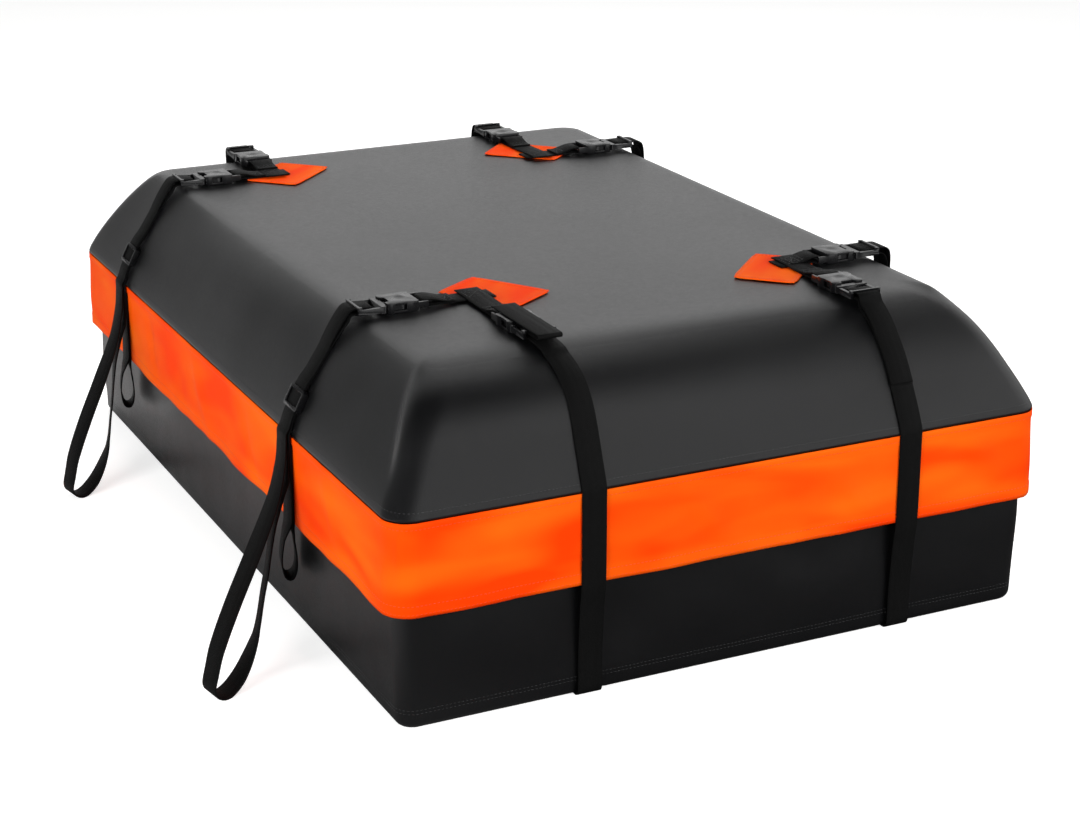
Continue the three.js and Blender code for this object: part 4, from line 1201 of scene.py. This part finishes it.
def socket_model():
    slot, half = slot_and_half()
    thick, wall = BUCKLE_THICK, BUCKLE_WALL
    outline = [(-0.001, -half + 0.002), (0.002, -half), (0.011, -half), (0.014, -half + 0.0012),
               (0.030, -half + 0.0012), (0.033, -half), (0.037, -half), (0.040, -half + 0.002)]
    body = outline_plate("socket", mirrored(outline), 0, thick)
    rails = [block("rail", -SOCKET_BAR - BAR_RADIUS, 0.001, a, b, 0.0025, 0.0105)
             for a, b in ((slot, half - 0.0015), (-half + 0.0015, -slot))]
    bar = rod("bar", -SOCKET_BAR, thick / 2, BAR_RADIUS, slot + 0.001)
    joined(body, rails + [bar])
    cavity = block("cavity", 0.006, 0.042, -half + wall, half - wall, wall, thick - wall)
    window = block("window", 0.0145, 0.0305, -half - 0.001, half + 0.001, wall, thick - wall)
    mouth = outline_plate("mouth", mirrored([(0.0335, -0.0085), (0.042, -0.0115)]),
                          thick - wall - 0.001, thick + 0.001)
    joined(body, [cavity, window, mouth], "DIFFERENCE")
    # A shallow oval hollow on the face, as thumb rest
    drop_selection()
    bpy.ops.mesh.primitive_uv_sphere_add(segments=28, ring_count=16, radius=1)
    dish = bpy.context.active_object
    dish.data.transform(Matrix.Translation((0.017, 0, thick + 0.0052))
                        @ Matrix.Diagonal((0.0155, 0.0175, 0.0062, 1)))
    joined(body, [dish], "DIFFERENCE")
    return rounded(body, 0.0006)


def plug_model():
    slot, half = slot_and_half()
    play = BUCKLE_WALL + 0.0006
    pad, low, high = half - play, play, BUCKLE_THICK - play
    mid, root, end = BUCKLE_THICK / 2, SOCKET_LENGTH + 0.0005, BUCKLE_REACH
    bridge = mid + strap_sizes()[2] + sizes().web_thick / 2 + SOLE
    body = outline_plate("plug", mirrored([
        (root, -half + 0.0025), (root + 0.0015, -half + 0.0005), (root + 0.008, -half + 0.0005),
    ]), mid - 0.0045, mid + 0.0045)
    parts = []
    for side in (1, -1):
        a, b = (slot, half - 0.0005) if side > 0 else (-half + 0.0005, -slot)
        parts.append(block("rail", root + 0.004, end, a, b, mid - 0.0035, mid + 0.0035))
        parts.append(block("post", end - 0.005, end, a, b, mid, bridge + BRIDGE_THICK))
        outline = [(root + 0.001, pad - 0.0118), (root + 0.001, pad - 0.0069),
                   (0.036, pad - 0.0062), (0.0315, pad - 0.0055), (0.0300, pad), (0.022, pad),
                   (0.0165, pad - 0.0006), (0.0125, pad - 0.0035), (0.0145, pad - 0.0085),
                   (0.022, pad - 0.0096), (0.030, pad - 0.0107)]
        outline = [(x, side * y) for x, y in outline]
        parts.append(outline_plate("prong", outline if side > 0 else outline[::-1], low, high))
    parts.append(block("tongue", 0.0125, root + 0.001, -0.0035, 0.0035, low, high))
    parts.append(rod("bar", SOCKET_LENGTH + PLUG_BAR, mid, BAR_RADIUS, slot + 0.001))
    parts.append(block("bridge", end - 0.003, end, -slot - 0.001, slot + 0.001,
                       bridge, bridge + BRIDGE_THICK))
    joined(body, parts)
    return rounded(body, 0.0005)


def glide_model():
    slot, outer = slot_and_half()
    half, bar = GLIDE_LENGTH / 2, 0.00225
    top = SOLE + GLIDE_PLATE + 2 * sizes().web_thick + 3 * GAP
    outline = [(-half, -outer + 0.003), (-half + 0.003, -outer), (half - 0.003, -outer),
               (half, -outer + 0.003)]
    body = outline_plate("glide", mirrored(outline), SOLE, top + GLIDE_PLATE)
    inside = block("inside", -half - 0.001, half + 0.001, -slot, slot, SOLE + GLIDE_PLATE, top)
    slots = [block("slot", a, b, -slot, slot, -0.001, top + 0.003)
             for a, b in ((-half + 0.0045, -bar), (bar, half - 0.0045))]
    over = block("over", -0.003, 0.003, -slot, slot, top - 0.0001, top + 0.003)
    unders = [block("under", a, b, -slot, slot, -0.001, top - 0.0001)
              for a, b in ((-half - 0.001, -bar), (bar, half + 0.001))]
    joined(body, [inside, over] + slots + unders, "DIFFERENCE")
    return rounded(body, 0.0005)


def glide_matrix(key):
    s = sizes()
    c = CORNERS[key]
    sec = Section(s.half_x, s.inset_x)
    point, tangent = sec.frame(sec.at_height(s.rim + GLIDE_RISE))
    down = Vector((c["sx"] * tangent[0], 0, tangent[1]))
    normal = Vector((c["sx"] * -tangent[1], 0, tangent[0]))
    across = normal.cross(down)
    turn = Matrix((down, across, normal)).transposed().to_4x4()
    return Matrix.Translation((c["sx"] * point[0], c["y"], point[1])) @ turn


class BAG_OT_buckles(bpy.types.Operator):
    """Moulds one socket and one plug and copies them to the eight buckles"""
    bl_idname = "bag.buckles"
    bl_label = "Buckles"

    def execute(self, context):
        base = strap_sizes()[3]
        models = {"socket": socket_model(), "plug": plug_model()}
        for key, c in CORNERS.items():
            side, end = c["side_end"] - BUCKLE_REACH, c["end_end"] - BUCKLE_REACH
            places = {
                "side": Matrix.Translation((c["sx"] * side, c["y"], base))
                @ Matrix.Rotation(0 if c["sx"] > 0 else math.pi, 4, "Z"),
                "end": Matrix.Translation((c["x"], c["sy"] * end, base))
                @ Matrix.Rotation(c["sy"] * math.pi / 2, 4, "Z"),
            }
            for kind, model in models.items():
                for place, matrix in places.items():
                    made = placed_copy(model, f"buckle_{kind}_{key}_{place}", matrix)
                    body = "bag" if kind == "socket" else f"buckle_plug_{key}_{place}"
                    finish_piece(made, moulded_plastic(), body, "plastic",
                                 f"{kind}_{key}_{place}")
        for model in models.values():
            bpy.data.objects.remove(model, do_unlink=True)
        return {"FINISHED"}


class BAG_OT_glides(bpy.types.Operator):
    """Moulds one tri-glide and copies it to the four side straps"""
    bl_idname = "bag.glides"
    bl_label = "Tri-glides"

    def execute(self, context):
        model = glide_model()
        for key in CORNERS:
            made = placed_copy(model, f"moulded_glide_{key}", glide_matrix(key))
            finish_piece(made, moulded_plastic(), f"strap_glide_{key}", "plastic",
                         f"tri_glide_{key}")
        bpy.data.objects.remove(model, do_unlink=True)
        return {"FINISHED"}


class BAG_OT_zip(bpy.types.Operator):
    """Makes the closed zip's tape and coil, and finishes the sliders and pulls"""
    bl_idname = "bag.zip"
    bl_label = "Zip"

    def execute(self, context):
        s = sizes()
        hx, hy, r = s.half_x, s.half_y, s.corner
        # The tape's profile with the coil standing out of its middle
        profile = [(-0.0026, 0.2055), (-0.0008, 0.2056), (-0.0007, 0.2078), (0.0, 0.2084),
                   (0.0, 0.2106), (-0.0007, 0.2112), (-0.0008, 0.2134), (-0.0026, 0.2135)]
        rows, maps = [], []
        for k, (offset, z) in enumerate(profile):
            points, _ = perimeter(hx + offset, hy + offset, r + offset, 240, 168, 14)
            rows.append(np.column_stack([points, np.full(len(points), z)]))
            maps.append(np.column_stack([run_along(points), np.full(len(points), 0.002 * k)]))
        chain = skin("zip_tape", rows, maps, closed=True)
        finish_piece(chain, webbing_cloth(), "bag", "webbing", "zip_chain")
        for name in ("zip_slider_left", "zip_slider_right", "zip_pull_left", "zip_pull_right"):
            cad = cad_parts[name]
            cad.data.materials.clear()
            cad.data.materials.append(dark_metal())
        return {"FINISHED"}


# Stitching


def stitches(name, runs, thread, slot, length=0.0036, radius=0.00032):
    """Small raised stitches along runs of points with their outward directions."""
    ring = 6
    # Along the stitch: its place, girth and lift
    shape = [(0.0, 0.25, -0.6), (0.18, 0.9, 0.1), (0.5, 1.0, 0.45), (0.82, 0.9, 0.1),
             (1.0, 0.25, -0.6)]
    pitch = sizes().stitch
    vertices, faces = [], []
    for points, normals in runs:
        p = np.array(points, float)
        n = np.array(normals, float)
        run = run_along(p)
        for k in range(int(run[-1] / pitch)):
            middle = (k + 0.5) * pitch
            ends = [np.array([np.interp(t, run, p[:, a]) for a in range(3)])
                    for t in (middle - length / 2, middle + length / 2)]
            normal = np.array([np.interp(middle, run, n[:, a]) for a in range(3)])
            normal /= np.linalg.norm(normal) or 1
            tangent = ends[1] - ends[0]
            if np.linalg.norm(tangent) < 1e-6:
                continue
            tangent /= np.linalg.norm(tangent)
            side = np.cross(tangent, normal)
            start = len(vertices)
            for t, girth, lift in shape:
                centre = ends[0] + (ends[1] - ends[0]) * t + normal * lift * radius
                for i in range(ring):
                    a = 2 * math.pi * i / ring
                    vertices.append(centre + side * math.cos(a) * radius * girth
                                    + normal * math.sin(a) * radius * girth)
            for j in range(len(shape) - 1):
                for i in range(ring):
                    a, b = start + j * ring + i, start + j * ring + (i + 1) % ring
                    faces.append((a, a + ring, b + ring, b))
            faces.append(tuple(start + i for i in range(ring)))
            faces.append(tuple(start + (len(shape) - 1) * ring + ring - 1 - i for i in range(ring)))
    finish_piece(mesh_piece(name, vertices, faces), thread, "bag", slot)


def surface_of(name):
    """A ray-cast tree of a finished piece."""
    obj = bpy.data.objects[name]
    mesh = obj.data
    return BVHTree.FromPolygons([v.co.copy() for v in mesh.vertices],
                                [tuple(p.vertices) for p in mesh.polygons])


def laid_on(tree, points, directions):
    """The points moved on to a surface along their directions, with its normals."""
    out, normals = [], []
    for p, d in zip(points, directions):
        origin = Vector(p) + Vector(d) * 0.03
        hit, normal, _, _ = tree.ray_cast(origin, -Vector(d), 0.06)
        if hit is None:
            out.append(list(p))
            normals.append(list(d))
            continue
        if normal.dot(Vector(d)) < 0:
            normal = -normal
        out.append(list(hit))
        normals.append(list(normal))
    return out, normals


def level_run(tree, half_x, half_y, radius, z):
    """A run right round the bag at one height, laid on a surface."""
    points, normals = closed_perimeter(half_x, half_y, radius)
    return laid_on(tree, [(x, y, z) for x, y in points], [(a, b, 0) for a, b in normals])


def polygon_runs(tree, corners, place, steps):
    """Straight runs from corner to corner, laid on a surface from above."""
    runs = []
    for (x0, y0), (x1, y1) in zip(corners, corners[1:]):
        line = [place(x0 + (x1 - x0) * t / steps, y0 + (y1 - y0) * t / steps)
                for t in range(steps + 1)]
        runs.append(laid_on(tree, line, [(0, 0, 1)] * len(line)))
    return runs


class BAG_OT_stitching(bpy.types.Operator):
    """Sews the hems, patches and strap ends with raised stitches"""
    bl_idname = "bag.stitching"
    bl_label = "Stitching"

    def execute(self, context):
        s = sizes()
        hx, hy, r, out = s.half_x, s.half_y, s.corner, s.flap_out
        orange = material("thread_orange", twisted, colours().thread)
        dark = material("thread_dark", twisted, (0.02, 0.02, 0.021))

        flap = surface_of("rain_flap_cloth")
        runs = [level_run(flap, hx + out, hy + out, r + out, z)
                for z in (s.flap_low + 0.004, s.flap_low + 0.0145, s.rim - 0.0075)]
        stitches("flap_stitching", runs, orange, "orange")

        runs = []
        for key in CORNERS:
            tree, matrix = surface_of(f"lid_patch_{key}"), patch_matrix(key)
            for inset in (0.002, 0.006):
                a, b = PATCH_HALF[0] - inset, PATCH_HALF[1] - inset
                runs += polygon_runs(tree, [(-a, -b), (a, -b), (a, b), (-a, b), (-a, -b)],
                                     lambda x, y: matrix @ Vector((x, y, s.plateau + 0.002)), 12)
        stitches("patch_stitching", runs, orange, "orange")

        runs = [level_run(surface_of("lid_cloth"), hx + out - 0.004, hy + out - 0.004, r + out,
                          s.rim + 0.011)]
        tub = surface_of("tub_cloth")
        runs += [level_run(tub, hx, hy, r, z) for z in (0.021, 0.0255)]
        stitches("cloth_stitching", runs, dark, "cloth")

        # Sewn boxes with a cross where each leg is sewn back on itself and on its patch
        runs = []
        back = BUCKLE_REACH + SOCKET_BAR + LEG_BACK - 0.002
        for key, c in CORNERS.items():
            tree = surface_of(f"anchor_webbing_{key}")
            boxes = [(c["x"], c["y"], 0.012, 0.012),
                     (c["sx"] * (c["side_end"] - back), c["y"], 0.006, 0.012),
                     (c["x"], c["sy"] * (c["end_end"] - back), 0.012, 0.006)]
            for cx, cy, a, b in boxes:
                runs += polygon_runs(
                    tree, [(-a, -b), (a, -b), (a, b), (-a, b), (-a, -b), (a, b), (a, -b), (-a, b)],
                    lambda x, y: (cx + x, cy + y, s.plateau + 0.008), 6)
        stitches("strap_stitching", runs, dark, "webbing", 0.003, 0.0003)
        return {"FINISHED"}


# Stage

# How bright the walls are by height: the sky's height from straight down to straight up
WALL_TONES = [(0.0, 0.4), (0.3, 0.41), (0.46, 0.41), (0.61, 0.16), (0.72, 0.03), (1.0, 0.02)]
# Name, place, what it looks at, size and watts
LAMPS = [
    ("soft_light", (0.6, 1.6, 2.6), (0, 0.1, 0.3), (2.4, 1.6), 55),
    ("front_light", (1.0, -3.4, 1.3), (0, 0, 0.2), (2.4, 1.0), 74),
    ("left_light", (-3.2, -1.6, 1.2), (0, 0, 0.2), (1.8, 1.0), 105),
]
CAMERA_PLACE = (-1.3109, -2.8040, 1.2371)
CAMERA_TILT = math.radians(70.31)
CAMERA_HEADING = math.radians(-25.81)
CAMERA_LENS = 76.43
WHITE = (1, 1, 1, 1)


def camera_sees(tree, shown, elsewhere, output):
    """Gives one shader to the camera's rays and another to all the rest."""
    ray = node(tree, "ShaderNodeLightPath").outputs["Is Camera Ray"]
    mix = node(tree, "ShaderNodeMixShader", {0: ray, 1: elsewhere.outputs[0],
                                             2: shown.outputs[0]})
    feed(tree.nodes[output], {0: mix.outputs[0]})


def pale_floor(tree, shader):
    """A pale floor. What the cloth mirrors of it is paler behind its left side than in front."""
    place = node(tree, "ShaderNodeNewGeometry").outputs["Position"]
    split = node(tree, "ShaderNodeSeparateXYZ", {0: place})
    slant = maths(tree, "SUBTRACT", split.outputs[1], split.outputs[0])
    dim = node(tree, "ShaderNodeBsdfDiffuse", {"Color": ramp(tree, slant, -0.5, 1.2, 0.06, 0.85)})
    feed(shader, {"Base Color": [*colours().floor, 1], "Roughness": 0.9,
                  "Specular IOR Level": 0.0})
    glow = node(tree, "ShaderNodeEmission", {"Strength": 0.7})
    lit = node(tree, "ShaderNodeAddShader", {0: shader.outputs[0], 1: glow.outputs[0]})
    camera_sees(tree, lit, dim, "Material Output")


def studio_walls(tree):
    """A bright ring of walls under a dark ceiling, dimmer at the left."""
    place = node(tree, "ShaderNodeTexCoord").outputs["Generated"]
    split = node(tree, "ShaderNodeSeparateXYZ", {0: place})
    tone = node(tree, "ShaderNodeFloatCurve", {"Value": split.outputs[2]})
    curve = tone.mapping.curves[0]
    curve.points[0].location, curve.points[1].location = WALL_TONES[0], WALL_TONES[-1]
    for level in WALL_TONES[1:-1]:
        curve.points.new(*level)
    tone.mapping.update()
    side = ramp(tree, split.outputs[0], -0.4, 0.15, 0.4, 2.5, "SMOOTHSTEP")
    ahead = ramp(tree, split.outputs[1], -0.5, 0.5, 1.3, 1.0, "SMOOTHSTEP")
    gain = maths(tree, "MULTIPLY", tone.outputs[0], maths(tree, "MULTIPLY", side, ahead))
    walls = feed(tree.nodes["Background"], {"Color": WHITE, "Strength": gain})
    white = node(tree, "ShaderNodeBackground", {"Color": WHITE, "Strength": 1.0})
    camera_sees(tree, white, walls, "World Output")


class BAG_OT_stage(bpy.types.Operator):
    """Adds the pale floor, the soft lights and the camera"""
    bl_idname = "bag.stage"
    bl_label = "Stage"

    def execute(self, context):
        scene = context.scene
        drop_selection()
        bpy.ops.mesh.primitive_plane_add(size=14, location=(0, 1.5, 0))
        floor = context.active_object
        floor.name = "studio_floor"
        floor.data.materials.append(material("studio_floor", pale_floor))

        scene.world = bpy.data.worlds.new("studio")
        scene.world.use_nodes = True
        studio_walls(scene.world.node_tree)

        for name, place, target, size, power in LAMPS:
            data = bpy.data.lights.new(name, "AREA")
            data.shape = "RECTANGLE"
            data.size, data.size_y = size
            data.energy = power
            lamp = bpy.data.objects.new(name, data)
            scene.collection.objects.link(lamp)
            lamp.location = place
            look = Vector(target) - Vector(place)
            lamp.rotation_euler = look.to_track_quat("-Z", "Y").to_euler()
            lamp.visible_glossy = False

        data = bpy.data.cameras.new("photo_camera")
        data.sensor_width = 36.0
        data.lens = CAMERA_LENS
        camera = bpy.data.objects.new("photo_camera", data)
        scene.collection.objects.link(camera)
        camera.location = CAMERA_PLACE
        camera.rotation_euler = (CAMERA_TILT, 0, CAMERA_HEADING)
        scene.camera = camera
        scene.view_settings.view_transform = "Standard"
        return {"FINISHED"}


OPERATORS = (
    BAG_OT_stage, BAG_OT_tub, BAG_OT_lid, BAG_OT_rain_flap, BAG_OT_zip, BAG_OT_patches,
    BAG_OT_webbing, BAG_OT_buckles, BAG_OT_glides, BAG_OT_stitching,
)


class BAG_PT_panel(bpy.types.Panel):
    """Lists the bag's pieces in the sidebar"""
    bl_label = "Cargo Bag"
    bl_idname = "BAG_PT_panel"
    bl_space_type = "VIEW_3D"
    bl_region_type = "UI"
    bl_category = "Cargo Bag"

    def draw(self, context):
        layout = self.layout
        for operator in OPERATORS:
            layout.operator(operator.bl_idname)
        for group in (context.scene.bag_sizes, context.scene.bag_colours):
            box = layout.box()
            for name in group.__annotations__:
                box.prop(group, name)


CLASSES = (BagSizes, BagColours, *OPERATORS, BAG_PT_panel)


def register():
    for cls in CLASSES:
        bpy.utils.register_class(cls)
    bpy.types.Scene.bag_sizes = bpy.props.PointerProperty(type=BagSizes)
    bpy.types.Scene.bag_colours = bpy.props.PointerProperty(type=BagColours)


def unregister():
    del bpy.types.Scene.bag_colours
    del bpy.types.Scene.bag_sizes
    for cls in reversed(CLASSES):
        bpy.utils.unregister_class(cls)


def main():
    register()
    for operator in OPERATORS:
        group, name = operator.bl_idname.split(".")
        getattr(getattr(bpy.ops, group), name)()


if __name__ == "__main__":
    main()
